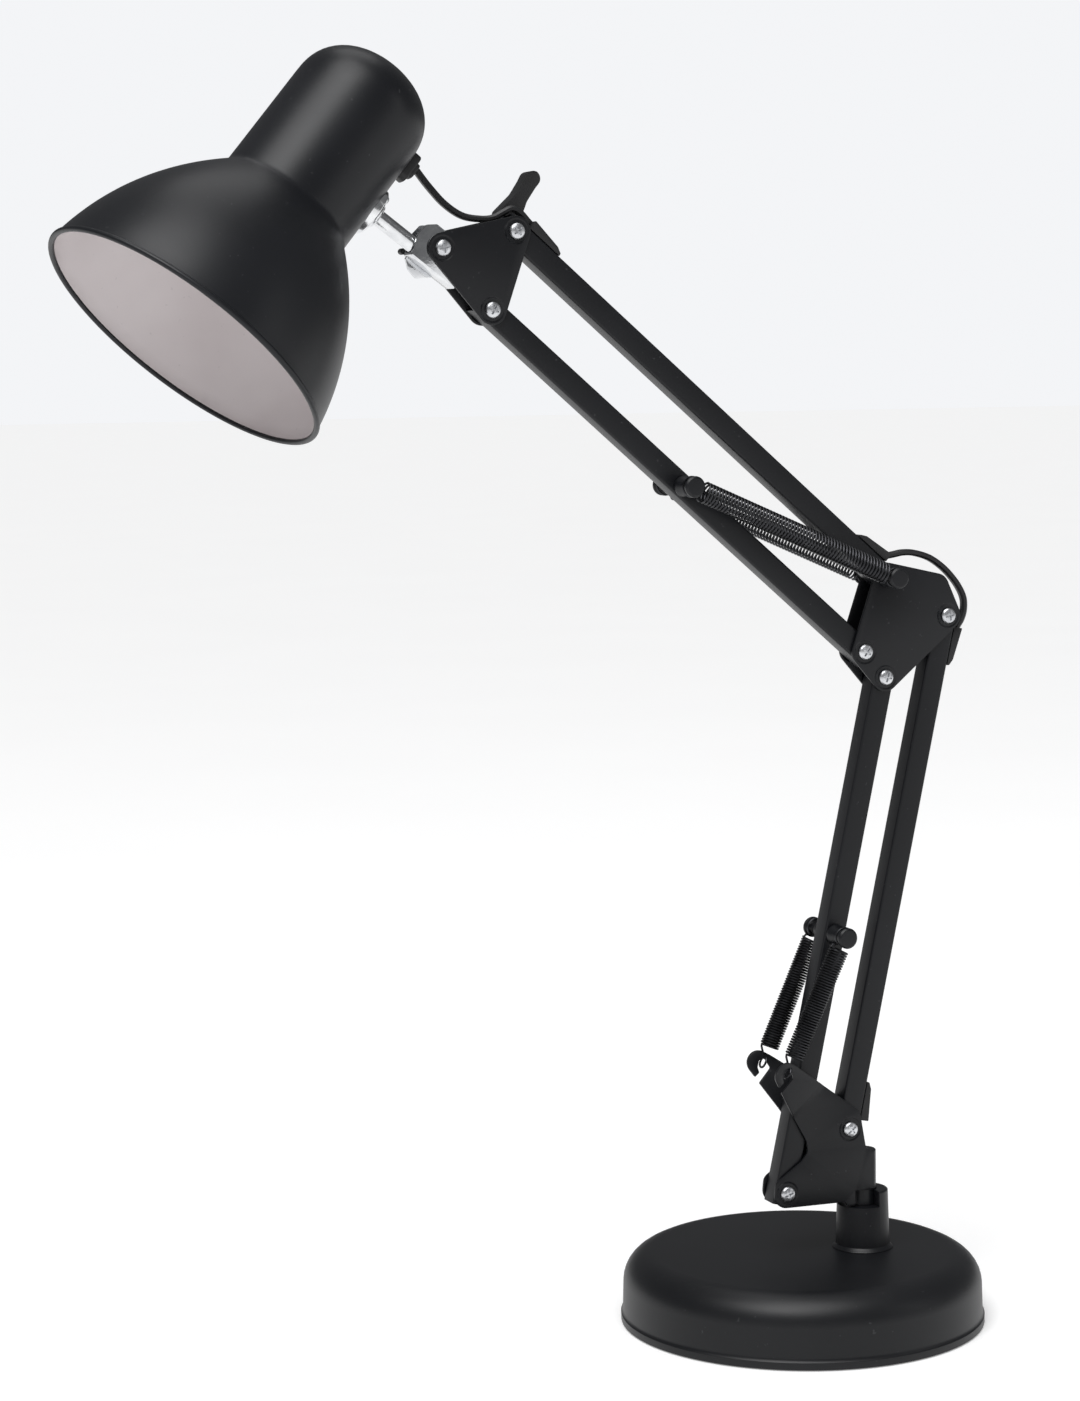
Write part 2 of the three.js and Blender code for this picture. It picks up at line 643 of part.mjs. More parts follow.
function makeStem() {
  const stem = rod(STEM_RADIUS, -13, STEM_REACH - GAP, 12).applyQuaternion(alongStem);
  const neck = () => onShade(rod(NECK_RADIUS + GAP, -NECK_LENGTH, 0, 48));
  add(head, "stem", cut(stem, neck()), chrome);
  const hole = STEM_RADIUS + GAP;
  const dish = turned(
    [
      [hole, STEM_REACH - 3.2],
      [6.2, STEM_REACH - 3.2],
      [7.4, STEM_REACH - 1.8],
      [12, STEM_REACH - 0.6],
      [12, STEM_REACH + 8],
      [hole, STEM_REACH + 8],
      [hole, STEM_REACH - 3.2],
    ],
    18,
  ).applyQuaternion(alongStem);
  const screwAt = stemWay.clone().multiplyScalar(STEM_REACH).addScaledVector(aim, -9.6);
  const screwHole = rod(1.5 + GAP, -6, 8).applyQuaternion(alongStem).translate(...toSpace(screwAt));
  add(head, "stem_flange", cut(dish, neck(), screwHole), chrome);
  const screw = turned([[0, -4], [1.3, -3.8], [2.1, -3], [2.1, -2.1], [1.5, -2.1], [1.5, 1.2], [0, 1.2]]);
  const placed = screw.applyQuaternion(alongStem).translate(...toSpace(screwAt));
  add(head, "stem_flange_screw", cut(placed, neck()), zinc);
}

// ---------------------------------------------------------------- shade and lamp
// The shade's wall from the middle of its dome to its mouth, as [radius, -distance].
function shadeWall(inset) {
  const neck = NECK_RADIUS - inset;
  const squareness = 2 / 2.3;
  const wall = [[0, -inset]];
  const domeSteps = 5;
  for (let i = 1; i <= domeSteps; i++) {
    const turn = (i / domeSteps) * (Math.PI / 2);
    const fall = 1 - Math.max(0, Math.cos(turn)) ** squareness;
    wall.push([neck * Math.sin(turn) ** squareness, -inset - (DOME_HEIGHT - inset) * fall]);
  }
  const flare = Math.tan(THREE.MathUtils.degToRad(BELL_START));
  const lip = Math.tan(THREE.MathUtils.degToRad(BELL_END));
  const mouth = RIM_RADIUS - inset;
  const bend = (mouth - lip * BELL_LENGTH - neck) / (flare - lip);
  const bell = new THREE.QuadraticBezierCurve(
    new THREE.Vector2(neck, -NECK_LENGTH),
    new THREE.Vector2(neck + flare * bend, -NECK_LENGTH - bend),
    new THREE.Vector2(mouth, -NECK_LENGTH - BELL_LENGTH),
  );
  for (const point of bell.getPoints(6)) wall.push([point.x, point.y]);
  return wall;
}

function makeShade() {
  const end = -NECK_LENGTH - BELL_LENGTH;
  const outer = shadeWall(0);
  const inner = shadeWall(SHADE_WALL);
  outer.pop();
  inner.pop();
  const bead = [
    [RIM_RADIUS - SHADE_WALL - 0.3, end],
    [RIM_RADIUS + 1.5, end],
    [RIM_RADIUS + 1.5, end + 2.6],
    [RIM_RADIUS - 0.4, end + 3.4],
  ];
  add(head, "shade", onShade(turned([...inner, ...bead, ...outer.reverse()], 36)), blackPaint);

  const holder = [
    [0, -34],
    [14, -34],
    [14, -60],
    [HOLDER_RADIUS - 1, -60],
    [HOLDER_RADIUS, -59],
    [HOLDER_RADIUS, -20],
    [HOLDER_RADIUS - 4, -12],
    [5, -10],
    [5, -2],
    [0, -2],
  ];
  add(head, "lampholder", onShade(turned(holder, 16)), ceramic);
  const bulb = [
    [0, -138],
    [13, -135.4],
    [23, -127],
    [28.4, -115],
    [28.4, -101],
    [23.5, -86],
    [16.5, -70],
    [13.3, -58],
    [13.3, -38],
    [6, -35],
    [0, -35],
  ];
  add(head, "bulb", onShade(turned(bulb, 16)), frosted);

  // the flex's grommet, a long pad on the neck
  const station = 30;
  const pad = roundedOutline([[-8, -5, 3.6], [8, -5, 3.6], [8, 5, 3.6], [-8, 5, 3.6]]);
  const block = new THREE.ExtrudeGeometry(pad, { depth: 10, bevelEnabled: false, curveSegments: 3 });
  const frame = new THREE.Matrix4().makeBasis(toSpace(aim), new THREE.Vector3(0, 1, 0), toSpace(neckSide));
  const seat = domeTop.clone().addScaledVector(aim, station).addScaledVector(neckSide, NECK_RADIUS - 6);
  block.applyMatrix4(frame.setPosition(toSpace(seat)));
  const neck = onShade(rod(NECK_RADIUS + GAP, -NECK_LENGTH, 0, 48));
  add(head, "flex_grommet", cut(block, neck), blackPlastic);

  // the switch on the neck's far side
  const at = domeTop.clone().addScaledVector(aim, SWITCH_STATION);
  const bezel = ring(4 + GAP, 8, NECK_RADIUS - 6, NECK_RADIUS + 3, 14).translate(...toSpace(at));
  add(head, "switch_bezel", cut(bezel, neck), blackPlastic);
  const button = rod(4, NECK_RADIUS + 2, NECK_RADIUS + 6.5, 12).translate(...toSpace(at));
  add(head, "switch_button", button, blackPlastic);
}

// ---------------------------------------------------------------- flex, lead and plug
function makeCords() {
  // from the shade's grommet into the upper bar's open end
  const headRoute = [
    [-238.3, 3.7, 596],
    [-232.2, 3, 588.4],
    [-224.6, 2.2, 580],
    [-216, 1.4, 574.4],
    [-207, 0.6, 572.4],
    [-200.6, 0.2, 573],
    [-195.4, 0, 575.8],
    [-190.6, 0, 577.9],
    [-186.4, 0, 575.8],
    [-183, 0, 572.2],
  ];
  add(arm, "head_flex", cord(headRoute, 16, FLEX_WIDTH, FLEX_THICKNESS), flexRubber);
  // the loop outside the elbow, from the upper bar's lower end into the lower bar's upper end
  const elbowRoute = [
    [15.8, 0, 399],
    [19.4, 0, 400.4],
    [24, 0, 401.6],
    [31, 0, 401.4],
    [40, 0, 398.8],
    [48.4, 0, 393.2],
    [55.6, 0, 385.6],
    [59.6, 0, 378.6],
    [59.6, 0, 372.6],
    [57.3, 0, 367.4],
    [55.3, 0, 362.9],
  ];
  add(arm, "elbow_flex", cord(elbowRoute, 18, FLEX_WIDTH, FLEX_THICKNESS), flexRubber);

  const face = PLATE_OUT + GAP;
  const gland = turned([
    [0, PLATE_IN - 1],
    [LEAD_HOLE - GAP, PLATE_IN - 1],
    [LEAD_HOLE - GAP, face],
    [5.6, face],
    [5.6, face + 1.6],
    [4.4, face + 2.4],
    [3.2, face + GLAND_LENGTH],
    [0, face + GLAND_LENGTH],
  ]);
  add(arm, "lead_gland", gland, blackPlastic).position.copy(toSpace(LEAD_EXIT));

  const leadRoute = [
    [17, 13, 84],
    [17.6, 20, 83.2],
    [22.4, 27, 80],
    [30, 33, 74.6],
    [39, 37.4, 67.4],
    [47.4, 42, 58.6],
    [55, 47.6, 49.4],
    [61.5, 54, 42.2],
    [67.5, 61, 36.6],
    [72.6, 67.4, 28.6],
    [76, 72.4, 18.8],
    [79, 77, 10],
    [84.4, 83.8, 3.4],
    [88.4, 89, 2.3],
    [91.6, 93.2, 2.3],
  ];
  add(lamp, "mains_lead", cord(leadRoute, 30, LEAD_WIDTH, LEAD_WIDTH), flexRubber);

  const coil = ring(COIL_RADIUS - COIL_HALF_WIDTH, COIL_RADIUS + COIL_HALF_WIDTH, GAP, COIL_HEIGHT, 28);
  add(lamp, "lead_coil", upright(coil), flexRubber).position.set(COIL_CENTRE.x, COIL_CENTRE.y, 0);
  makePlug();
}

// A flat two-pin plug that lies on the table, its cord end at x = 0, its pins towards +X.
function makePlug() {
  const halfThick = 6.8;
  const relief = rod(3, 0, 19, 8).rotateZ(-Math.PI / 2);
  const side = [[18, 6, 2], [26, 13, 4], [48, 13, 2]];
  const outline = roundedOutline([...side.map(([x, y, r]) => [x, -y, r]), ...side.reverse()]);
  const options = { depth: 2 * halfThick, bevelEnabled: false, curveSegments: 3 };
  const body = new THREE.ExtrudeGeometry(outline, options);
  body.translate(0, 0, -halfThick);
  const pins = [-9.3, 9.3].map((y) => rod(2, 46, 66, 8).rotateZ(-Math.PI / 2).translate(0, y, 0));
  const mesh = add(lamp, "mains_plug", join(body, relief, ...pins), blackPlastic);
  mesh.position.set(PLUG_START.x, PLUG_START.y, halfThick + 0.2);
  mesh.rotation.z = THREE.MathUtils.degToRad(PLUG_HEADING);
}

makeBase();
makeFoot();
makeArms();
makeElbow();
makeSprings();
makeHeadBracket();
makeClamp();
makeStem();
makeShade();
makeCords();

export default lamp;
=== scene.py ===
# %% [markdown]
# Swing arm desk lamp: a satin black lamp on a round weighted base, with two spring-held
# parallelogram arms and a bell shade on a chrome stem.
# Every piece is built in millimetres and scaled to metres as it is placed.

# %% Load the frame
import math

import bmesh
import bpy
from mathutils import Matrix, Vector


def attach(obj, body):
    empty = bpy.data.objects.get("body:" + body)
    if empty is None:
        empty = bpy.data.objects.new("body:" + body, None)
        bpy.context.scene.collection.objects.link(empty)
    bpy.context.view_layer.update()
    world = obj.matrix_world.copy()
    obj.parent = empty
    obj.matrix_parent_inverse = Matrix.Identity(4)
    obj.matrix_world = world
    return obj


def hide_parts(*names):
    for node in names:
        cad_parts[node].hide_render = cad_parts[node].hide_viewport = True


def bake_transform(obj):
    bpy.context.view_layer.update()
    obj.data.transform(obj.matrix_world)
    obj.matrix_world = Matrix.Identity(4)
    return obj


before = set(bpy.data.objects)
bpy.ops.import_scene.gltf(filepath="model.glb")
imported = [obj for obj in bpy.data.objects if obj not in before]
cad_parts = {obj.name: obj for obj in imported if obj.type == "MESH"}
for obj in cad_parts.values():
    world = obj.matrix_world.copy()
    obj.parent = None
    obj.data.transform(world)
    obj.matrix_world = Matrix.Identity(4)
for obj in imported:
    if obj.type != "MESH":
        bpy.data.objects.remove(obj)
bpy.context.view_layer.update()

# %% [markdown]
# The arms fold in one upright plane through the swivel post.
# Points in that plane are (x, z) from the foot of the post, and `arm_point` adds the distance
# across the plane.

# %% Driving dimensions
POST = Vector((32.0, -7.5, 0.0))
BASE_RADIUS, BASE_HEIGHT, SHOULDER = 95.0, 36.6, 16.0
BAR_END = 6.5
LOWER_SPAN, LOWER_ANGLE = 273.0, 77.7
UPPER_SPAN, UPPER_ANGLE = 268.7, 139.0
PLATE_IN, PLATE_OUT = 6.3, 7.8
STEM_ANGLE, AIM_ANGLE, SHADE_TURN = 143.0, 229.2, 6.7
NECK_RADIUS, NECK_LENGTH, RIM_RADIUS, SHADE_LENGTH = 34.5, 87.7, 76.2, 169.7


def arm_point(x, z, y=0.0):
    return Vector((x, y, z))


def polar(length, degrees):
    angle = math.radians(degrees)
    return Vector((length * math.cos(angle), 0, length * math.sin(angle)))


P2 = arm_point(-11, 102)
P1 = P2 - arm_point(36.5, 30.6)
Q1 = P1 + polar(LOWER_SPAN, LOWER_ANGLE)
Q2 = P2 + polar(LOWER_SPAN, LOWER_ANGLE)
R1 = Q1 + arm_point(-11.8, 13.7)
R2 = R1 + arm_point(13.2, 38.1)
S1 = R1 + polar(UPPER_SPAN, UPPER_ANGLE)
S2 = R2 + polar(UPPER_SPAN, UPPER_ANGLE)
TILT = S2 + arm_point(-38.5, -8.2)
STEM_WAY = polar(1, STEM_ANGLE)
STEM_SIDE = polar(1, STEM_ANGLE - 90)
STEM_FOOT = TILT - STEM_SIDE * 6.4
AIM = polar(1, AIM_ANGLE)
NECK_SIDE = polar(1, AIM_ANGLE + 90)
NECK_MIDDLE = STEM_WAY * (38 + NECK_RADIUS / math.cos(math.radians(AIM_ANGLE - STEM_ANGLE - 90)))
DOME_TOP = NECK_MIDDLE - AIM * 62


def facing(direction, origin=(0, 0, 0)):
    """A matrix that lays +Z along a direction and moves the start to an origin."""
    turn = Vector(direction).to_track_quat("Z", "Y").to_matrix().to_4x4()
    return Matrix.Translation(origin) @ turn


ROW = Matrix.Scale(0.001, 4)
ARM = ROW @ Matrix.Translation(POST)
HEAD = ARM @ Matrix.Translation(STEM_FOOT) @ Matrix.Rotation(math.radians(SHADE_TURN), 4, STEM_WAY)
SHADE = HEAD @ facing(-AIM, DOME_TOP)
print("elbow at", tuple(round(v, 1) for v in R2), "tilt pivot at", tuple(round(v, 1) for v in TILT))

# %% [markdown]
# The camera looks from a little left of the front and slightly above the elbow's height.

# %% Camera
CAMERA_PLACE = (-0.7374, -1.5052, 0.4942)
CAMERA_LENS, SENSOR_WIDTH = 83.35, 36
AZIMUTH, ELEVATION, ROLL = -21.52, 5.66, -0.78
camera_data = bpy.data.cameras.new("camera")
camera = bpy.data.objects.new("camera", camera_data)
bpy.context.scene.collection.objects.link(camera)
bpy.context.scene.camera = camera
azimuth, elevation, roll = map(math.radians, (AZIMUTH, ELEVATION, ROLL))
flat = math.cos(elevation)
back = Vector((math.sin(azimuth) * flat, -math.cos(azimuth) * flat, math.sin(elevation)))
level = Vector((math.cos(azimuth), math.sin(azimuth), 0))
upward = back.cross(level)
across = level * math.cos(roll) + upward * math.sin(roll)
upright_axis = upward * math.cos(roll) - level * math.sin(roll)
aim = Matrix((across, upright_axis, back)).transposed().to_4x4()
camera.matrix_world = Matrix.Translation(CAMERA_PLACE) @ aim
camera_data.lens = CAMERA_LENS
camera_data.sensor_width = SENSOR_WIDTH
camera_data.clip_end = 60
print("camera lens", camera_data.lens)

# %% [markdown]
# Shader arithmetic goes through one small class, so that a pattern reads as a formula.

# %% Shader helpers


class Value:
    """A shader socket that can be added, multiplied and compared like a number."""

    def __init__(self, shader, socket):
        self.shader = shader
        self.socket = socket

    def math(self, operation, *others):
        return self.shader.math(operation, self, *others)

    def __add__(self, other):
        return self.math("ADD", other)

    def __radd__(self, other):
        return self.math("ADD", other)

    def __sub__(self, other):
        return self.math("SUBTRACT", other)

    def __rsub__(self, other):
        return self.shader.math("SUBTRACT", other, self)

    def __mul__(self, other):
        return self.math("MULTIPLY", other)

    def __rmul__(self, other):
        return self.math("MULTIPLY", other)

    def __truediv__(self, other):
        return self.math("DIVIDE", other)

    def step(self, low, high):
        """0 below low, 1 above high, smooth between."""
        node = self.shader.node("ShaderNodeMapRange", {"interpolation_type": "SMOOTHSTEP"},
                                {"Value": self, "From Min": low, "From Max": high})
        return Value(self.shader, node.outputs["Result"])


class Shader:
    """A material with a Principled surface and a few short ways to add patterns."""

    def __init__(self, name, **constants):
        self.material = bpy.data.materials.new(name)
        self.material.use_nodes = True
        self.tree = self.material.node_tree
        self.tree.nodes.clear()
        self.surface = self.node("ShaderNodeBsdfPrincipled")
        output = self.node("ShaderNodeOutputMaterial")
        self.tree.links.new(self.surface.outputs[0], output.inputs["Surface"])
        coordinates = self.node("ShaderNodeTexCoord")
        self.place = Value(self, coordinates.outputs["Object"])
        for key, value in constants.items():
            self.set(key.replace("_", " "), value)

    def node(self, kind, settings=None, sockets=None):
        made = self.tree.nodes.new(kind)
        for key, value in (settings or {}).items():
            setattr(made, key, value)
        for key, value in (sockets or {}).items():
            self.feed(made.inputs[key], value)
        return made

    def feed(self, socket, value):
        if isinstance(value, Value):
            self.tree.links.new(value.socket, socket)
        else:
            socket.default_value = value

    def set(self, name, value):
        self.feed(self.surface.inputs[name], value)

    def math(self, operation, *values):
        node = self.node("ShaderNodeMath", {"operation": operation}, dict(enumerate(values)))
        return Value(self, node.outputs[0])

    def noise(self, scale, detail=2.0, rough=0.5, stretch=None):
        place = self.place
        if stretch:
            mapping = self.node("ShaderNodeMapping", None, {"Vector": place, "Scale": stretch})
            place = Value(self, mapping.outputs["Vector"])
        node = self.node("ShaderNodeTexNoise", None,
                         {"Vector": place, "Scale": scale, "Detail": detail, "Roughness": rough})
        return Value(self, node.outputs[0])

    def axis(self, name):
        node = self.node("ShaderNodeSeparateXYZ", None, {"Vector": self.place})
        return Value(self, node.outputs[name])

    def mix(self, first, second, factor):
        node = self.node("ShaderNodeMix", {"data_type": "RGBA"}, {0: factor, 6: first, 7: second})
        return Value(self, node.outputs[2])

    def bump(self, height, distance, strength=1.0):
        node = self.node("ShaderNodeBump", None,
                         {"Height": height, "Distance": distance, "Strength": strength})
        self.set("Normal", Value(self, node.outputs["Normal"]))


# %% [markdown]
# Satin enamel: nearly black, with a fine pebble from the sprayed coat, faint clouding in its
# gloss and a few specks of dust.
# Pressed plates also have a shallow round seat under each screw.

# %% Paint materials


def enamel(name, dark, light, gloss, seats=(), seat_radius=6.6):
    shader = Shader(name, Specular_IOR_Level=0.34)
    clouds = shader.noise(14, 3)
    pebble = shader.noise(1500, 2)
    specks = shader.noise(420, 1).step(0.74, 0.8)
    tone = shader.mix(dark, light, clouds.step(0.3, 0.75))
    shader.set("Base Color", shader.mix(tone, (0.16, 0.16, 0.17, 1), specks * 0.12))
    shader.set("Roughness", clouds * 0.1 + pebble * 0.05 + gloss + specks * 0.1)
    height = pebble * 0.06
    x, z = shader.axis("X"), shader.axis("Z")
    for seat in seats:
        spot = ARM @ seat
        away = ((x - spot.x) * (x - spot.x) + (z - spot.z) * (z - spot.z)).math("SQRT")
        height = height + away.step((seat_radius - 1.2) / 1000, seat_radius / 1000)
    shader.bump(height, 0.0005 if seats else 0.0006, 0.9)
    return shader.material


BLACK, BLACK_LIGHT = (0.0034, 0.0038, 0.0052, 1), (0.0058, 0.0063, 0.0082, 1)
paint = enamel("satin_black", BLACK, BLACK_LIGHT, 0.33)
shade_paint = enamel("satin_black_shade", (0.005, 0.0056, 0.0074, 1), (0.0078, 0.0085, 0.0108, 1), 0.32)
base_paint = enamel("satin_black_base", (0.005, 0.0055, 0.0068, 1), (0.0078, 0.0083, 0.0099, 1), 0.35)
foot_paint = enamel("satin_black_foot", BLACK, BLACK_LIGHT, 0.34, [P1, P2])
elbow_paint = enamel("satin_black_elbow", BLACK, BLACK_LIGHT, 0.34, [Q1, Q2, R1])
head_paint = enamel("satin_black_head", BLACK, BLACK_LIGHT, 0.34, [S1, S2, TILT])
lining = enamel("white_lining", (0.60, 0.55, 0.555, 1), (0.68, 0.635, 0.64, 1), 0.42)
print("paints:", len(bpy.data.materials))

# %% [markdown]
# Metals, plastics and rubber each get a grain of their own: drawn lines, plating haze, moulded
# texture or a soft sheen.

# %% Other materials


def metal(name, dark, light, gloss, haze, lines=None, depth=0.00006):
    shader = Shader(name, Metallic=1.0)
    grain = shader.noise(900, 2, 0.5, lines)
    smudge = shader.noise(120, 3)
    shader.set("Base Color", shader.mix(dark, light, smudge.step(0.25, 0.75)))
    shader.set("Roughness", smudge * haze + grain * (haze * 0.5) + gloss)
    shader.bump(grain, depth, 0.5)
    return shader.material


def moulding(name, dark, light, gloss, scale, depth):
    shader = Shader(name, Specular_IOR_Level=0.45)
    grain = shader.noise(scale, 3)
    clouds = shader.noise(45, 2)
    shader.set("Base Color", shader.mix(dark, light, clouds.step(0.3, 0.7)))
    shader.set("Roughness", grain * 0.14 + clouds * 0.06 + gloss)
    shader.bump(grain, depth, 0.7)
    return shader.material


chrome = metal("chrome_plate", (0.62, 0.63, 0.65, 1), (0.8, 0.81, 0.82, 1), 0.07, 0.1)
zinc = metal("zinc_plate", (0.5, 0.51, 0.53, 1), (0.74, 0.75, 0.77, 1), 0.2, 0.18)
spring_wire = metal("blackened_wire", (0.035, 0.035, 0.038, 1), (0.055, 0.056, 0.06, 1), 0.3, 0.08)
iron = metal("cast_iron", (0.09, 0.09, 0.095, 1), (0.2, 0.19, 0.19, 1), 0.5, 0.3, None, 0.0004)
nickel = metal("nickel_pin", (0.5, 0.48, 0.44, 1), (0.74, 0.72, 0.68, 1), 0.16, 0.16)
plastic = moulding("black_moulding", (0.0085, 0.0085, 0.009, 1), (0.014, 0.014, 0.015, 1), 0.4, 1500,
                   0.00008)
sheath = moulding("flex_sheath", (0.007, 0.007, 0.008, 1), (0.013, 0.013, 0.014, 1), 0.3, 900, 0.00006)
foam = moulding("foam_pad", (0.008, 0.008, 0.008, 1), (0.02, 0.02, 0.021, 1), 0.8, 1300, 0.0004)
porcelain = moulding("glazed_porcelain", (0.72, 0.7, 0.65, 1), (0.8, 0.78, 0.74, 1), 0.15, 260, 0.00004)
frosted = moulding("frosted_glass", (0.8, 0.79, 0.76, 1), (0.86, 0.85, 0.83, 1), 0.35, 1600, 0.00003)
print("materials:", len(bpy.data.materials))

# %% [markdown]
# Shapes are made in three ways: profiles spun about an axis, outlines given a thickness, and
# sections swept along a line.
# A corner given a radius is replaced by an arc first.

# %% Shape helpers


def arcs(points, closed=True, step=11.0):
    """Replaces each (a, b, radius) corner by an arc, and leaves (a, b) corners sharp."""
    out = []
    count = len(points)
    for i, corner in enumerate(points):
        here = Vector(corner[:2])
        radius = corner[2] if len(corner) > 2 else 0
        if not radius or (not closed and i in (0, count - 1)):
            out.append(here)
            continue
        before = (Vector(points[i - 1][:2]) - here).normalized()
        after = (Vector(points[(i + 1) % count][:2]) - here).normalized()
        half = before.angle(after) / 2
        middle = here + (before + after).normalized() * (radius / math.sin(half))
        start = here + before * (radius / math.tan(half)) - middle
        sweep = start.angle_signed(here + after * (radius / math.tan(half)) - middle)
        pieces = max(2, math.ceil(abs(math.degrees(sweep)) / step))
        for k in range(pieces + 1):
            out.append(middle + Matrix.Rotation(-sweep * k / pieces, 2) @ start)
    return out


def spun(profile, steps=72):
    """Spins (radius, height) corners about Z."""
    bm = bmesh.new()
    points = arcs(profile, closed=False)
    verts = [bm.verts.new((p.x, 0, p.y)) for p in points]
    edges = [bm.edges.new(pair) for pair in zip(verts, verts[1:])]
    bmesh.ops.spin(bm, geom=verts + edges, cent=(0, 0, 0), axis=(0, 0, 1), angle=2 * math.pi,
                   steps=steps, use_merge=True)
    bmesh.ops.remove_doubles(bm, verts=bm.verts, dist=1e-4)
    return bm


def ring_profile(profile):
    """Closes a profile that doesn't touch the axis."""
    return list(profile) + [profile[0][:2]]


def soften(bm, width, segments=2, sharper_than=40.0):
    """Rounds every edge that turns more than an angle."""
    limit = math.radians(sharper_than)
    edges = [e for e in bm.edges if len(e.link_faces) == 2 and e.calc_face_angle(0) > limit]
    bmesh.ops.bevel(bm, geom=edges, offset=width, offset_type="OFFSET", segments=segments, profile=0.5,
                    affect="EDGES", clamp_overlap=True, material=-1)
    return bm


def slab(outline, near, far, softness=0.3):
    """Gives an outline in (x, z) a thickness from y = near to y = far."""
    bm = bmesh.new()
    face = bm.faces.new([bm.verts.new((p.x, near, p.y)) for p in arcs(outline)])
    grown = bmesh.ops.extrude_face_region(bm, geom=[face])
    moved = [v for v in grown["geom"] if isinstance(v, bmesh.types.BMVert)]
    bmesh.ops.translate(bm, vec=(0, far - near, 0), verts=moved)
    bmesh.ops.recalc_face_normals(bm, faces=bm.faces)
    if softness:
        soften(bm, softness)
    return bm


def smooth_line(points, spacing=2.0):
    """A rounded line through the points, sampled evenly enough for a sweep."""
    points = [Vector(p) for p in points]
    padded = [points[0] * 2 - points[1]] + points + [points[-1] * 2 - points[-2]]
    out = []
    for a, b, c, d in zip(padded, padded[1:], padded[2:], padded[3:]):
        count = max(1, round((c - b).length / spacing))
        for k in range(count):
            t = k / count
            out.append(0.5 * (2 * b + (c - a) * t + (2 * a - 5 * b + 4 * c - d) * t * t
                              + (3 * b - a - 3 * c + d) * t ** 3))
    return out + [points[-1]]


def circle(radius, sides=8):
    return [(radius * math.cos(2 * math.pi * k / sides),
             radius * math.sin(2 * math.pi * k / sides)) for k in range(sides)]


def twin(width, thickness):
    """The section of a flat twin cord: two round cores side by side with a soft groove."""
    radius = thickness / 2
    offset = width / 2 - radius
    half = [(offset + radius * math.cos(math.radians(a)),
             radius * math.sin(math.radians(a))) for a in range(-110, 111, 44)]
    return half + [(-x, -y) for x, y in half]


def swept(points, section, wide_axis=None):
    """Sweeps a section along points. The section's first axis keeps to wide_axis if one is given."""
    bm = bmesh.new()
    loops = []
    wide = None
    for i, point in enumerate(points):
        tangent = (points[min(i + 1, len(points) - 1)] - points[max(i - 1, 0)]).normalized()
        guide = Vector(wide_axis) if wide_axis else (wide or tangent.orthogonal())
        wide = (guide - tangent * guide.dot(tangent)).normalized()
        thin = tangent.cross(wide)
        loops.append([bm.verts.new(point + wide * a + thin * b) for a, b in section])
    for low, high in zip(loops, loops[1:]):
        for k in range(len(section)):
            bm.faces.new((low[k - 1], low[k], high[k], high[k - 1]))
    bm.faces.new(list(reversed(loops[0])))
    bm.faces.new(loops[-1])
    return bm


def carved(bm, *cutters):
    """Cuts closed shapes out of a closed shape."""
    def temporary(shape):
        bmesh.ops.recalc_face_normals(shape, faces=shape.faces)
        mesh = bpy.data.meshes.new("temporary")
        shape.to_mesh(mesh)
        shape.free()
        holder = bpy.data.objects.new("temporary", mesh)
        bpy.context.scene.collection.objects.link(holder)
        return holder

    body = temporary(bm)
    tools = [temporary(cutter) for cutter in cutters]
    for tool in tools:
        modifier = body.modifiers.new("cut", "BOOLEAN")
        modifier.operation = "DIFFERENCE"
        modifier.solver = "EXACT"
        modifier.object = tool
    result = bmesh.new()
    depsgraph = bpy.context.evaluated_depsgraph_get()
    result.from_mesh(bpy.data.meshes.new_from_object(body.evaluated_get(depsgraph)))
    for holder in [body, *tools]:
        bpy.data.objects.remove(holder)
    return result


def block(size, matrix=None):
    bm = bmesh.new()
    bmesh.ops.create_cube(bm, size=1, matrix=(matrix or Matrix.Identity(4)) @ Matrix.Diagonal((*size, 1)))
    return bm


def merged(*shapes):
    """Several closed shapes as one mesh."""
    whole = bmesh.new()
    for shape in shapes:
        mesh = bpy.data.meshes.new("part")
        shape.to_mesh(mesh)
        shape.free()
        whole.from_mesh(mesh)
        bpy.data.meshes.remove(mesh)
    return whole


def moved(bm, matrix):
    bmesh.ops.transform(bm, matrix=matrix, verts=bm.verts)
    return bm


def publish(name, bm, matrix, materials, body, nodes=(), sharp=34.0, tidy=True):
    """Places a shape in the frame, gives it materials and lets it ride on its body."""
    moved(bm, matrix)
    if tidy:
        bmesh.ops.recalc_face_normals(bm, faces=bm.faces)
    for face in bm.faces:
        face.smooth = True
    for edge in bm.edges:
        edge.smooth = edge.calc_face_angle(0) < math.radians(sharp)
    mesh = bpy.data.meshes.new(name)
    bm.to_mesh(mesh)
    bm.free()
    for material in materials if isinstance(materials, list) else [materials]:
        mesh.materials.append(material)
    made = bpy.data.objects.new(name, mesh)
    bpy.context.scene.collection.objects.link(made)
    if nodes:
        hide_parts(*nodes)
    if body:
        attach(made, body)
    return made


print("shape helpers ready")

# %% [markdown]
# The mains lead leaves a gland on the far side of the foot bracket, runs down behind the base
# and is wound into a neat flat coil there, with its plug beside it.

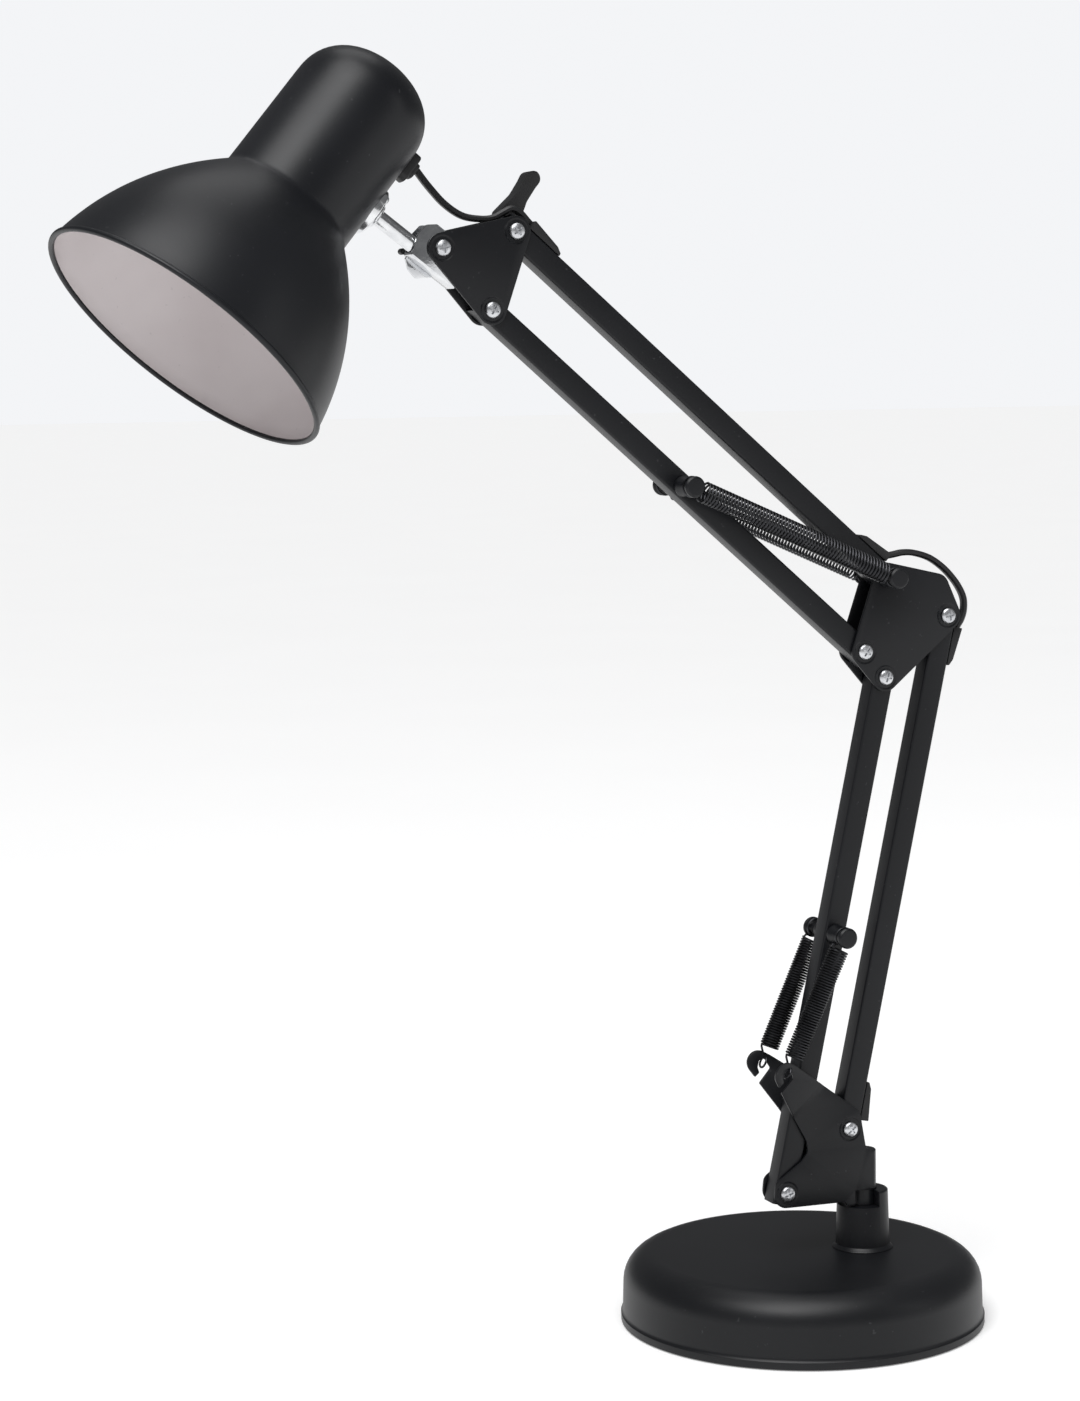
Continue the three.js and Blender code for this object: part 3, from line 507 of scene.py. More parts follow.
# %% Mains lead
COIL = Vector((63, 117.2, 0))
WIDE, THIN = 5.0, 2.8
PITCH = THIN + 0.35
route = smooth_line([(17, 12.4, 84), (17.6, 20, 83.2), (22.4, 27, 80), (30, 33, 74.6), (39, 37.4, 67.4),
                     (47.4, 42, 58.6), (55, 47.6, 49.4), (61.5, 54, 42.2), (67.5, 61, 36.6),
                     (72.6, 67.4, 28.6), (76, 72.4, 18.8), (79.6, 77.6, 9), (85, 84.6, 3.4),
                     (91.6, 93.2, 2.7)], 2.5)
START_TURN, TURNS_IN, RISE, TURNS = -40.0, 5.0, 0.3, 9.458
OUTER = 37.2
for k in range(1, int(TURNS * 60) + 1):
    turn = k / 60
    angle = math.radians(START_TURN + 360 * turn)
    climb = min(max((turn - TURNS_IN) / RISE, 0), 1)
    climb = climb * climb * (3 - 2 * climb)
    inward = min(turn, TURNS_IN) - max(turn - TURNS_IN - RISE, 0)
    wobble = 0.12 * math.sin(5.3 * angle) + 0.08 * math.sin(2.1 * angle + 1)
    radius = OUTER - PITCH * inward + wobble * 0.6
    height = 2.7 + (WIDE + 0.25) * climb + wobble * 0.4 + 0.1
    route.append(COIL + Vector((radius * math.cos(angle), radius * math.sin(angle), height)))
route += smooth_line([route[-1] + Vector((-2.6, -1.6, 0)), (37, 141.9, 7.6), (32.6, 139.4, 7.1)], 2.5)
lead = publish("mains_lead_cord", swept(route, twin(WIDE, THIN), (0, 0, 1)), ROW, sheath, None,
               ["mains_lead", "lead_coil"])
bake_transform(lead)
lead_length = sum((b - a).length for a, b in zip(route, route[1:])) / 1000
print("lead length", round(lead_length, 3))

# plug: a flat two-pin body with a ribbed sleeve
PLUG = Matrix.Translation((32, 139.1, 7.0)) @ Matrix.Rotation(math.radians(203.9), 4, "Z")
lying = Matrix.Rotation(math.radians(90), 4, "X")
outline = [(16, -5.4, 2), (25, -13, 5), (48, -13, 2.5), (48, 13, 2.5), (25, 13, 5), (16, 5.4, 2)]
plug_body = moved(slab(outline, -6.8, 6.8, 2.2), lying)
sleeve = [(0, 0), (3.1, 0, 0.4), (3.1, 2.2, 0.3), (2.7, 2.5)]
for rib in range(4):
    start = 2.8 + rib * 3.2
    sleeve += [(2.7 + rib * 0.25, start), (3.5 + rib * 0.3, start + 0.3), (3.5 + rib * 0.3, start + 2.1),
               (2.8 + rib * 0.25, start + 2.5)]
sleeve += [(4.6, 17), (4.6, 20), (0, 20)]
plug = publish("mains_plug_body", merged(plug_body, moved(spun(sleeve, 32), facing((1, 0, 0)))), ROW @ PLUG,
               plastic, "base", ["mains_plug"])
pins = merged(*[moved(spun([(0, 47.5), (2, 47.5), (2, 66, 1.2), (0, 66)], 24),
                      facing((1, 0, 0), (0, y, 0))) for y in (-9.3, 9.3)])
publish("mains_plug_pins", pins, ROW @ PLUG, nickel, "base")
[tuple(ROW @ p) for p in route]

# gland on the bracket's far plate
gland = [(0, 5.4), (3.3, 5.4), (3.3, 8.1), (5.6, 8.1, 0.3), (5.6, 9.6, 0.5), (4.4, 10.4, 0.3), (4.2, 12),
         (3.6, 12.2),
         (3.9, 13.6), (3.4, 13.8), (3.6, 15.4), (3.1, 15.6), (3.3, 17.2), (2.9, 17.5), (2.9, 20.1, 0.5),
         (0, 20.1)]
publish("lead_gland_body", moved(spun(gland, 40), facing((0, 1, 0), (-15, 0, 84))), ARM,
        plastic,
        "lower_bracket", ["lead_gland"])

# %% [markdown]
# The base is a pressed steel cover over an iron weight, with a foam pad below and a collar on top.

# %% Base
SHELL = 1.5
top_radius = BASE_RADIUS - 1.4
cover = [(0, BASE_HEIGHT), (top_radius, BASE_HEIGHT, SHOULDER), (top_radius + 0.9, 5.2, 3),
         (BASE_RADIUS + 0.4, 4.4, 0.6),
         (BASE_RADIUS + 0.4, 0.5, 0.4), (BASE_RADIUS - SHELL, 0.5),
         (top_radius - SHELL, BASE_HEIGHT - SHELL, SHOULDER - SHELL),
         (0, BASE_HEIGHT - SHELL)]
publish("base_cover_shell", spun(cover, 160), ROW, base_paint, "base", ["base_cover"])
publish("base_pad_disc", spun([(0, 0), (BASE_RADIUS - 2.5, 0, 0.4), (BASE_RADIUS - 2.5, 2, 0.3), (0, 2)],
                              96), ROW, foam,
        "base", ["base_pad"])
COLLAR_TOP = 68.0
collar = ring_profile([(3.3, 36.9), (16, 36.9), (15.2, 37.6, 0.5), (14.2, 38.7, 0.6),
                       (13.3, COLLAR_TOP, 1.0), (7.4, COLLAR_TOP, 0.3),
                       (7.4, 43.9), (3.3, 43.9)])
notch = block((40, 60, 20), Matrix.Translation((3.4 - 20, 0, 70)))
collar_shape = soften(carved(spun(collar, 72), notch), 0.35, 2, 60)
publish("post_collar_body", collar_shape, ARM, paint, "base", ["post_collar"])
post = carved(spun([(0, 44.2), (7.1, 44.2, 0.5), (7.1, 89, 0.8), (0, 89)], 64),
              block((30, 10, 40), Matrix.Translation((0, 11, 88.5))),
              block((30, 10, 40), Matrix.Translation((0, -11, 88.5))))
publish("swivel_post_body", post, ARM, paint, "lower_bracket", ["swivel_post"])
for node, finish in (("base_weight", iron), ("collar_screw", zinc)):
    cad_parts[node].data.materials.clear()
    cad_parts[node].data.materials.append(finish)
print("base ready")

# %% [markdown]
# Screws are zinc pan heads with a cross recess on the near side; lock nuts sit on the far side.

# %% Fasteners


def cross_recess(depth, reach, top):
    arms = []
    for turn in (0, 90):
        arm = block((reach * 2, 0.95, depth * 2),
                    Matrix.Translation((0, 0, top)) @ Matrix.Rotation(math.radians(turn), 4, "Z"))
        arms.append(arm)
    return arms


def screw(name, pivot, tip, body, node, turn):
    """Head on the near side, its top towards -Y."""
    head = [(0, 2.3), (1.9, 2.22, 0.3), (3.5, 1.5, 1.2), (4, 0.7, 0.5), (4, 0, 0.2), (2, 0),
            (2, -tip - 8.1, 0.4), (0, -tip - 8.1)]
    shape = carved(spun(head, 48), *cross_recess(1.2, 2.5, 2.3))
    place = facing((0, -1, 0), pivot + Vector((0, -8.1, 0))) @ Matrix.Rotation(math.radians(turn), 4, "Z")
    publish(name, shape, ARM @ place, zinc, body, [node], sharp=28)


def lock_nut(name, pivot, body, node, turn):
    outline = [(4 * math.cos(math.radians(60 * k)), 4 * math.sin(math.radians(60 * k))) for k in range(6)]
    hexagon = soften(slab(outline, 0, 3.2, 0), 0.3, 2, 30)
    hexagon = carved(hexagon, moved(spun([(0, -1), (2.3, -1), (2.3, 5), (0, 5)], 24), facing((0, 1, 0))))
    collar_ring = spun(ring_profile([(2.1, 3.15), (3.2, 3.15), (3, 3.9, 0.4), (2.1, 3.9, 0.2)]), 32)
    shape = merged(hexagon, moved(collar_ring, facing((0, 1, 0))))
    place = Matrix.Translation(pivot + Vector((0, 8.1, 0))) @ Matrix.Rotation(math.radians(turn), 4, "Y")
    publish(name, shape, ARM @ place, zinc, body, [node], sharp=28)


TIP = PLATE_OUT + 0.3 + 4.2
for name, pivot, body, turn in (
    ("foot_front", P1, "lower_bracket", 20), ("foot_rear", P2, "lower_bracket", 40),
                                ("elbow_front", Q1, "elbow_bracket", 75),
    ("elbow_rear", Q2, "elbow_bracket", 10), ("elbow_upper", R1, "elbow_bracket", 55),
                                ("head_lower", S1, "head_bracket", 62),
):
    screw(f"{name}_screw", pivot, TIP, body, f"{name}_bolt", turn)
    lock_nut(f"{name}_locknut", pivot, body, f"{name}_nut", turn * 1.7)
screw("head_upper_screw", S2, 22.1, "head_bracket", "head_upper_bolt", 35)
screw("tilt_screw", TILT, 17.1, "head_bracket", "tilt_bolt", 12)

# %% [markdown]
# Bracket plates are pressed from thin sheet.
# The foot plates end in a hook that bends outwards to hold a spring.

# %% Bracket plates


def hull(pivots, radius=7.5):
    """The outline round a ring of pivots given anticlockwise."""
    points = []
    for i, pivot in enumerate(pivots):
        before, after = pivots[i - 1], pivots[(i + 1) % len(pivots)]
        first = math.atan2(before.x - pivot.x, pivot.z - before.z)
        last = math.atan2(pivot.x - after.x, after.z - pivot.z)
        while last < first:
            last += 2 * math.pi
        count = max(2, math.ceil((last - first) / math.radians(9)))
        for k in range(count + 1):
            angle = first + (last - first) * k / count
            points.append((pivot.x + radius * math.cos(angle), pivot.z + radius * math.sin(angle)))
    return points


def plate_pair(name, outline, material, body):
    publish(f"{name}_near_sheet", slab(outline, -PLATE_OUT, -PLATE_IN, 0.35), ARM, material,
            body, [f"{name}_near"])
    publish(f"{name}_far_sheet", slab(outline, PLATE_IN, PLATE_OUT, 0.35), ARM, material,
            body, [f"{name}_far"])


plate_pair("elbow_plate", hull([Q1, Q2, arm_point(40.5, 383.5), R2, R1]), elbow_paint, "elbow_bracket")
plate_pair("head_plate", hull([S1, S2, TILT]), head_paint, "head_bracket")

foot_outline = [(P1.x - 8, P1.z - 7.6, 7), (-14.2, 63.4, 1), (-12.6, 61, 1), (-8, 61, 1), (-8, 68.8, 0.5),
                (2.8, 68.8, 0.5), (2.8, 88.6, 1),
                (-1.6, 91, 4), (-3.2, 100, 8), (-5, 111, 6), (-28.5, 128.2), (-46.2, 140.3, 5),
                (-53.6, 144.6, 6), (-60, 136.6, 6),
                (-55.3, 129.4, 0.5), (-52.8, 131.6, 0.8), (-53.4, 134.4, 1.6), (-52, 138.6, 2),
                (-49.2, 138.4, 1.6), (-46.8, 133.6, 1),
                (-53.4, 126.2, 0.8), (-44.6, 112.8, 6), (-36.4, 98.4, 4), (-35.4, 92.4, 4),
                (-39.5, 87.4, 3), (-54, 77.5, 5)]
BEND_ROOT, BEND_WAY, BEND_SLOPE = Vector((-34, 0, 118.6)), Vector((-0.66, 0, 0.75)).normalized(), 0.335


def bent(bm, side):
    """Leans the hook outwards past the bend line."""
    bmesh.ops.triangulate(bm, faces=bm.faces)
    cut_at = BEND_ROOT - BEND_WAY * 1.0
    for offset in (0.0, 1.2, 2.4, 4.0):
        bmesh.ops.bisect_plane(bm, geom=bm.verts[:] + bm.edges[:] + bm.faces[:],
                               plane_co=cut_at + BEND_WAY * offset, plane_no=BEND_WAY)
    for vert in bm.verts:
        reach = (vert.co - BEND_ROOT).dot(BEND_WAY)
        lean = max(0.0, reach) if reach > 2 else max(0.0, reach + 1) ** 2 / 4.5
        vert.co.y += side * lean * BEND_SLOPE
    return bm


for side, name in ((-1, "near"), (1, "far")):
    low, high = sorted((side * PLATE_IN, side * PLATE_OUT))
    publish(f"foot_plate_{name}_sheet", bent(slab(foot_outline, low, high, 0.3), side), ARM,
            foot_paint,
            "lower_bracket", [f"foot_plate_{name}"])
print("plates ready")

# %% [markdown]
# Each arm has two square tubes with open ends, moulded guards where the flex goes in and out,
# and turned pegs for the springs.

# %% Tubes, guards and pegs


def tube(name, start, end, body):
    run = end - start
    outer = [(-6, -6, 1.3), (6, -6, 1.3), (6, 6, 1.3), (-6, 6, 1.3)]
    inner = [(-5, -5, 0.5), (5, -5, 0.5), (5, 5, 0.5), (-5, 5, 0.5)]
    bm = bmesh.new()
    rims = []
    for height in (-BAR_END, run.length + BAR_END):
        rims.append([[bm.verts.new((p.x, p.y, height)) for p in arcs(loop, step=20)] for loop in (outer,
                                                                                                  inner)])
    for k in range(len(rims[0][0])):
        for side in (0, 1):
            low, high = rims[0][side], rims[1][side]
            bm.faces.new((low[k - 1], low[k], high[k], high[k - 1]))
        for rim in rims:
            bm.faces.new((rim[0][k - 1], rim[0][k], rim[1][k], rim[1][k - 1]))
    square = Matrix.Rotation(math.pi / 2 - math.atan2(run.z, run.x), 4, "Y")
    publish(name + "_tube", bm, ARM @ Matrix.Translation(start) @ square, paint, body,
            [name])


tube("lower_front_bar", P1, Q1, "lower_front_bar")
tube("lower_rear_bar", P2, Q2, "lower_rear_bar")
tube("upper_lower_bar", R1, S1, "upper_lower_bar")
tube("upper_upper_bar", R2, S2, "upper_upper_bar")


def guard(name, pivot, way, outward, body):
    """A moulded clip over the tube's outer side."""
    corners = [(5, 6.3), (25.5, 6.3), (25.2, 7.6, 0.5), (22, 9.2, 1.5), (5, 11.2, 0.4)]
    points = [pivot + way * t + outward * w for t, w, *_ in corners]
    shape = slab([(p.x, p.z, *c[2:]) for p, c in zip(points, corners)], -5.5, 5.5, 0.3)
    publish(name + "_clip", shape, ARM, plastic, body, [name])


lower_way, upper_way = polar(1, LOWER_ANGLE), polar(1, UPPER_ANGLE)
rear_side, top_side = polar(1, LOWER_ANGLE - 90), polar(1, UPPER_ANGLE - 90)
guard("cable_guard_foot", P2, lower_way, rear_side, "lower_rear_bar")
guard("cable_guard_elbow_lower", Q2, -lower_way, rear_side, "lower_rear_bar")
guard("cable_guard_elbow_upper", R2, upper_way, top_side, "upper_upper_bar")
guard("cable_guard_head", S2, -upper_way, top_side, "upper_upper_bar")

LOWER_PEG, UPPER_PEG = P1.lerp(Q1, 0.502), R1.lerp(S1, 0.498)


def peg(name, pivot, face, body):
    half = [(0, 21.6), (4.4, 21.6, 0.7), (5.4, 20.6, 0.6), (5.4, 19.2, 0.5), (3.1, 18.2, 0.4),
            (3.1, 14.6, 0.5), (5.4, face + 1.4, 1.2),
            (5.4, face, 0.3), (2, face)]
    profile = half + [(c[0], -c[1], *c[2:]) for c in reversed(half)]
    publish(name + "_turned", moved(spun(profile, 48), facing((0, 1, 0), pivot)), ARM, paint,
            body, [name])


peg("lower_spring_peg", LOWER_PEG, 6.3, "lower_front_bar")
peg("upper_spring_peg", UPPER_PEG, 6.3, "upper_lower_bar")
peg("elbow_spring_peg", R2, 8.1, "elbow_bracket")
print("arms ready")

# %% [markdown]
# Springs are one wire each: an eye round a peg, a coil, and a second eye.
# The lower pair is close wound and hooks into the foot plates; the upper pair is stretched a little.

# %% Springs
WIRE = 0.6


def eye(centre, way, radius, across, first=35, last=325):
    """Points round an eye, starting and ending beside the coil."""
    points = []
    for k in range(13):
        angle = math.radians(first + (last - first) * k / 12)
        points.append(centre + way * radius * math.cos(angle) + across * radius * math.sin(angle))
    return points


def coil_points(start, way, across, depth, radius, begin, end, pitch):
    turns = round((end - begin) / pitch)
    points = []
    for k in range(turns * 16 + 1):
        angle = 2 * math.pi * k / 16
        centre = start + way * (begin + (end - begin) * k / (turns * 16))
        points.append(centre + across * radius * math.cos(angle) + depth * radius * math.sin(angle))
    return points


def spring(name, top, foot, top_eye, foot_eye, foot_plane, body_from, body_to, radius, pitch, node):
    way = (foot - top).normalized()
    length = (foot - top).length
    depth = Vector((0, 1, 0))
    across = depth.cross(way).normalized()
    depth = way.cross(across)
    coil = coil_points(top, way, across, depth, radius, body_from, length - body_to, pitch)
    first = smooth_line(list(reversed(eye(top, way, top_eye, across, 28,
                                          332))) + [coil[0] - way * 1.2 - across * 0.4], 1.2)
    second_plane = depth if foot_plane else across
    second = smooth_line([coil[-1] + way * 1.2 - across * 0.4] + eye(foot, -way, foot_eye, second_plane, 28,
                                                                     332), 1.2)
    line = first + coil + second
    wire = publish(name, swept(line, circle(WIRE, 7)), ARM, spring_wire, None, [node])
    ARM @ foot
    ARM @ top
    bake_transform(wire)
    return wire


HOOK_SEAT = arm_point(-50.6, 136.4)
SPRING_PLANE, HOOK_PLANE = 16.2, 14.6
PEG_EYE, HOOK_EYE = 4.9, 3.0
EYE_GAP, HOOK_GAP = 6.6, 8.5
LOWER_COIL, LOWER_PITCH = 4.7, 1.4
UPPER_COIL, UPPER_PITCH = 5.1, 1.9
for side, name in ((-1, "near"), (1, "far")):
    top = LOWER_PEG + Vector((0, side * SPRING_PLANE, 0))
    foot = HOOK_SEAT + Vector((0, side * HOOK_PLANE, 0)) + (LOWER_PEG - HOOK_SEAT).normalized() * 0.6
    spring(f"lower_spring_{name}_wire", top, foot, PEG_EYE, HOOK_EYE, True, EYE_GAP, HOOK_GAP, LOWER_COIL,
           LOWER_PITCH,
           f"lower_spring_{name}")
    top = UPPER_PEG + Vector((0, side * SPRING_PLANE, 0))
    foot = R2 + Vector((0, side * SPRING_PLANE, 0))
    spring(f"upper_spring_{name}_wire", top, foot, PEG_EYE, PEG_EYE, False, EYE_GAP, EYE_GAP, UPPER_COIL,
           UPPER_PITCH,
           f"upper_spring_{name}")
print("springs ready")

# %% [markdown]
# The head bracket's two hand nuts have waisted wings with round tips.

# %% Wing nuts


def wing_nut(name, pivot, seat, hub, height, reach, degrees, node):
    profile = ring_profile([(2.2, 0), (hub, 0, 0.5), (hub, height * 0.35, 0.4),
                            (hub * 0.86, height * 0.38, 0.2), (hub * 0.82, height * 0.8, 0.8),
                            (hub * 0.55, height, 0.6), (2.2, height)])
    body = moved(spun(profile, 56), facing((0, 1, 0)))
    tip = reach * 0.112
    side = [(hub * 0.5, -hub * 0.5), (hub * 0.95, -hub * 0.66, 3), (reach * 0.58, -tip * 0.84, 6),
            (reach * 0.8, -tip * 0.86, 4),
            (reach, -tip * 1.05, tip), (reach, tip * 1.05, tip), (reach * 0.8, tip * 0.86, 4),
            (reach * 0.58, tip * 0.84, 6),
            (hub * 0.95, hub * 0.66, 3), (hub * 0.5, hub * 0.5)]
    wings = []
    for half in (0, 180):
        wing = soften(slab(side, height * 0.5, height * 1.15, 0), reach * 0.035, 3, 50)
        wings.append(moved(wing, Matrix.Rotation(math.radians(half), 4, "Y")))
    place = Matrix.Translation(pivot + Vector((0, seat, 0))) @ Matrix.Rotation(-math.radians(degrees), 4,
                                                                               "Y")
    publish(name, merged(body, *wings), ARM @ place, plastic, node, [node])


SEAT = PLATE_OUT + 0.3
wing_nut("arm_wing_nut_moulding", S2, SEAT, 9.4, 15.0, 36.5, 56, "arm_wing_nut")
wing_nut("tilt_wing_nut_moulding", TILT, SEAT, 6.0, 6.8, 15.0, 184, "tilt_wing_nut")

# %% [markdown]
# A folded chrome clamp hangs between the head plates and grips the stem.
# The stem ends in a dished flange that is screwed to the shade's neck.

# %% Clamp, stem and flange


def on_stem(t, w, *radius):
    point = STEM_FOOT + STEM_WAY * t + STEM_SIDE * w
    return (point.x, point.z, *radius)


side_view = [on_stem(10.5, -5.6, 0.8), on_stem(13.6, 4.4, 1), on_stem(12.6, 11, 2), on_stem(8.2, 14.6, 2),
             on_stem(-1, 14.4, 3),
             on_stem(-8, 8, 4), on_stem(-16, -0.6, 2), on_stem(-17.5, -5.6, 1)]
channel = slab(side_view, -5.7, 5.7, 0.9)
tilt_frame = Matrix((STEM_WAY, Vector((0, 1, 0)), STEM_WAY.cross(Vector((0, 1, 0))))).transposed().to_4x4()
inside = block((60, 8.8, 40), Matrix.Translation(STEM_FOOT + STEM_SIDE * (20 - 4.3)) @ tilt_frame)
publish("head_clamp_fold", carved(channel, soften(inside, 1.2, 3)), ARM, chrome, "head_clamp",
        ["head_clamp"])
ear = slab([on_stem(0, -2), on_stem(-7.8, -5.2, 1), on_stem(-0.7, -11.2, 2), on_stem(5.1, -10, 2),
            on_stem(10.4, -5.6, 1)], 4.4, 5.7, 0.3)
publish("head_clamp_ear", ear, ARM, chrome, "head_clamp", ["head_clamp"])


def neck_tool():
    return moved(spun([(0, -NECK_LENGTH), (NECK_RADIUS + 0.15, -NECK_LENGTH), (NECK_RADIUS + 0.15, 0),
                       (0, 0)], 128),
                 facing(-AIM, DOME_TOP))


rod = moved(spun([(0, -13), (4, -13, 0.7), (4, 40), (0, 40)], 48), facing(STEM_WAY))
publish("stem_rod", carved(rod, neck_tool()), HEAD, chrome, "shade_head", ["stem"])
dish = ring_profile([(4.2, 33.2), (5.8, 33.2, 0.5), (6.8, 34.2, 0.6), (7.6, 35.8, 0.8), (11.2, 35.6, 0.9),
                     (12.6, 36.8, 0.6), (12.6, 44), (4.2, 44)])
screw_spot = STEM_WAY * 38 - AIM * 9.2
publish("stem_flange_dish", carved(moved(spun(dish, 72), facing(STEM_WAY)), neck_tool()), HEAD,
        chrome, "shade_head",
        ["stem_flange"])
small = carved(spun([(0, 2.2), (1.2, 2.1, 0.3), (2.2, 1.2, 0.8), (2.3, 0.2, 0.2), (0, 0.2)], 32),
               *cross_recess(0.6, 1.3, 2.2))
publish("stem_flange_screw_head", moved(small, facing(-STEM_WAY, screw_spot - STEM_WAY * 2.2)), HEAD,
        zinc, "shade_head",
        ["stem_flange_screw"])
print("head joint ready")

# %% [markdown]
# The shade is one spun shell: a domed neck, a soft crease, and a bell that ends in a rolled rim.
# Its inside is painted white.

# %% Shade


def bell(inset, count=26):
    flare, lip = math.tan(math.radians(45)), math.tan(math.radians(7.5))
    neck, mouth, length = NECK_RADIUS - inset, RIM_RADIUS - inset, SHADE_LENGTH - NECK_LENGTH
    bend = (mouth - lip * length - neck) / (flare - lip)
    points = []
    for k in range(count + 1):
        t = k / count
        radius = (1 - t) ** 2 * neck + 2 * t * (1 - t) * (neck + flare * bend) + t * t * mouth
        depth = 2 * t * (1 - t) * bend + t * t * length
        points.append((radius, -NECK_LENGTH - depth))
    return points


def dome(inset, count=18):
    squareness = 2 / 2.3
    points = []
    for k in range(count + 1):
        turn = k / count * math.pi / 2
        fall = 1 - max(0.0, math.cos(turn)) ** squareness
        points.append(((NECK_RADIUS - inset) * math.sin(turn) ** squareness, -inset - (28 - inset) * fall))
    return points


outer = dome(0) + [(NECK_RADIUS + 0.1, -NECK_LENGTH + 0.2, 6)] + bell(0)[1:-1]
inner = dome(0.9) + [(NECK_RADIUS - 0.9, -NECK_LENGTH + 0.2, 6)] + bell(0.9)[1:-1]
rim = [(RIM_RADIUS - 0.4 + 1.45 * math.cos(math.radians(a)),
        -SHADE_LENGTH + 1.45 * math.sin(math.radians(a))) for a in range(75, -206, -20)]
shell = spun(outer + rim + list(reversed(inner)), 144)
bmesh.ops.recalc_face_normals(shell, faces=shell.faces)
for face in shell.faces:
    middle = face.calc_center_median()
    outward = (face.normal.x * middle.x + face.normal.y * middle.y) / max(1e-6,
                                                                          math.hypot(middle.x, middle.y))
    if outward + face.normal.z < 0 and middle.z > -SHADE_LENGTH + 1.6:
        face.material_index = 1
publish("shade_shell", shell, SHADE, [shade_paint, lining], "shade_head", ["shade"])

holder = [(0, -34), (14, -34), (14, -60), (18, -60, 0.8), (19, -59), (19, -20, 4), (15, -12, 2), (5, -10),
          (5, -1.4), (0, -1.4)]
publish("lampholder_body", spun(holder, 64), SHADE, porcelain, "shade_head", ["lampholder"])
bulb = [(0, -138), (20, -138, 18), (29, -120, 16), (29, -98, 14), (17, -72, 14), (13.3, -60, 3),
        (13.3, -38, 1), (6, -35), (0, -35)]
publish("bulb_globe", spun(bulb, 72), SHADE, frosted, "shade_head", ["bulb"])

grommet_frame = Matrix((AIM, Vector((0, 1, 0)), AIM.cross(Vector((0, 1, 0))))).transposed().to_4x4()
grommet_seat = Matrix.Translation(DOME_TOP + AIM * 30 + NECK_SIDE * (NECK_RADIUS - 2)) @ grommet_frame
pad_outline = [(-8, -5, 3.6), (8, -5, 3.6), (8, 5, 3.6), (-8, 5, 3.6)]
pad = soften(moved(slab(pad_outline, -6, 0, 0), Matrix.Rotation(math.radians(-90), 4, "X")), 1.0, 3, 50)
lump = soften(moved(slab([(-4.6, -3.6, 2.4), (4, -3.6, 2.4), (4, 3.6, 2.4), (-4.6, 3.6, 2.4)], -8, 0, 0),
                    Matrix.Rotation(math.radians(-90), 4, "X")), 0.8, 3, 50)
print("grommet frame handedness", round(grommet_frame.determinant(), 2))
publish("flex_grommet_pad", merged(pad, lump), HEAD @ grommet_seat, plastic, "shade_head",
        ["flex_grommet"])

away = facing((0, 1, 0), DOME_TOP + AIM * 40)
bezel = ring_profile([(4.3, 30), (8, 30), (8, 37.2, 1.2), (4.3, 37.2, 0.4)])
publish("switch_bezel_ring", moved(carved(spun(bezel, 48), moved(neck_tool(), away.inverted())), away),
        HEAD, plastic,
        "shade_head", ["switch_bezel"])
button = [(0, 36.4), (4, 36.4), (4, 40.8, 1.0), (0, 41.2)]
publish("switch_button_cap", moved(spun(button, 40), away), HEAD, plastic, "switch_button",
        ["switch_button"])
print("shade ready")

# %% [markdown]
# Two short loops of flat flex cross the joints, from the shade into the upper tube and round the
# elbow into the lower one.
# Each loop is cut where a bracket holds it still, into one length for each joint it crosses.

# %% Flex loops
FLEX_WIDE, FLEX_THICK = 4.4, 3.5


def flex(name, points, spans, nodes):
    line = smooth_line([arm_point(x, z, y) for x, y, z in points], 1.1)
    first = 0
    for k, (share, start_body, end_body) in enumerate(spans):
        last = round(share * (len(line) - 1))
        length = line[first:last + 1]
        made = publish(f"{name}_{k + 1}", swept(length, twin(FLEX_WIDE, FLEX_THICK), (0, 1, 0)), ARM,
                       sheath, None, nodes)
        ARM @ length[0]
        ARM @ length[-1]
        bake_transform(made)
        first = last


flex("elbow_flex_loop", [(11.6, 0, 400.8), (15, 0, 400.6), (19.4, 0, 401.2), (24.6, 0, 402), (31, 0, 401.6),
                         (40, 0, 398.8), (48.4, 0, 393.2),
                         (55.6, 0, 385.6), (60, 0, 378), (60.6, 0, 371.4), (59, 0, 366), (56.2, 0, 361.8),
                         (54.6, 0, 358.4)],
     [(0.5, "upper_upper_bar", "elbow_bracket"), (1.0, "elbow_bracket", "lower_rear_bar")], ["elbow_flex"])
flex("head_flex_loop", [(-239.6, 3.8, 597.6), (-237.6, 3.6, 594.8), (-232.2, 3, 587.8),
                        (-224.6, 2.2, 579.6), (-216, 1.4, 574), (-207, 0.6, 572.4),
                        (-200.4, 0, 572.9), (-195.2, 0, 575.4), (-190.4, 0, 577.4), (-186, 0, 575.4),
                        (-182, 0, 571.2), (-178.6, 0, 567.8)],
     [(0.3, "shade_head", "head_clamp"), (0.55, "head_clamp", "head_bracket"),
      (1.0, "head_bracket", "upper_upper_bar")], ["head_flex"])
print("flex loops ready")

# %% [markdown]
# A pale floor and soft studio light: a broad key from the upper left, a weaker fill from the right
# and an even sky.

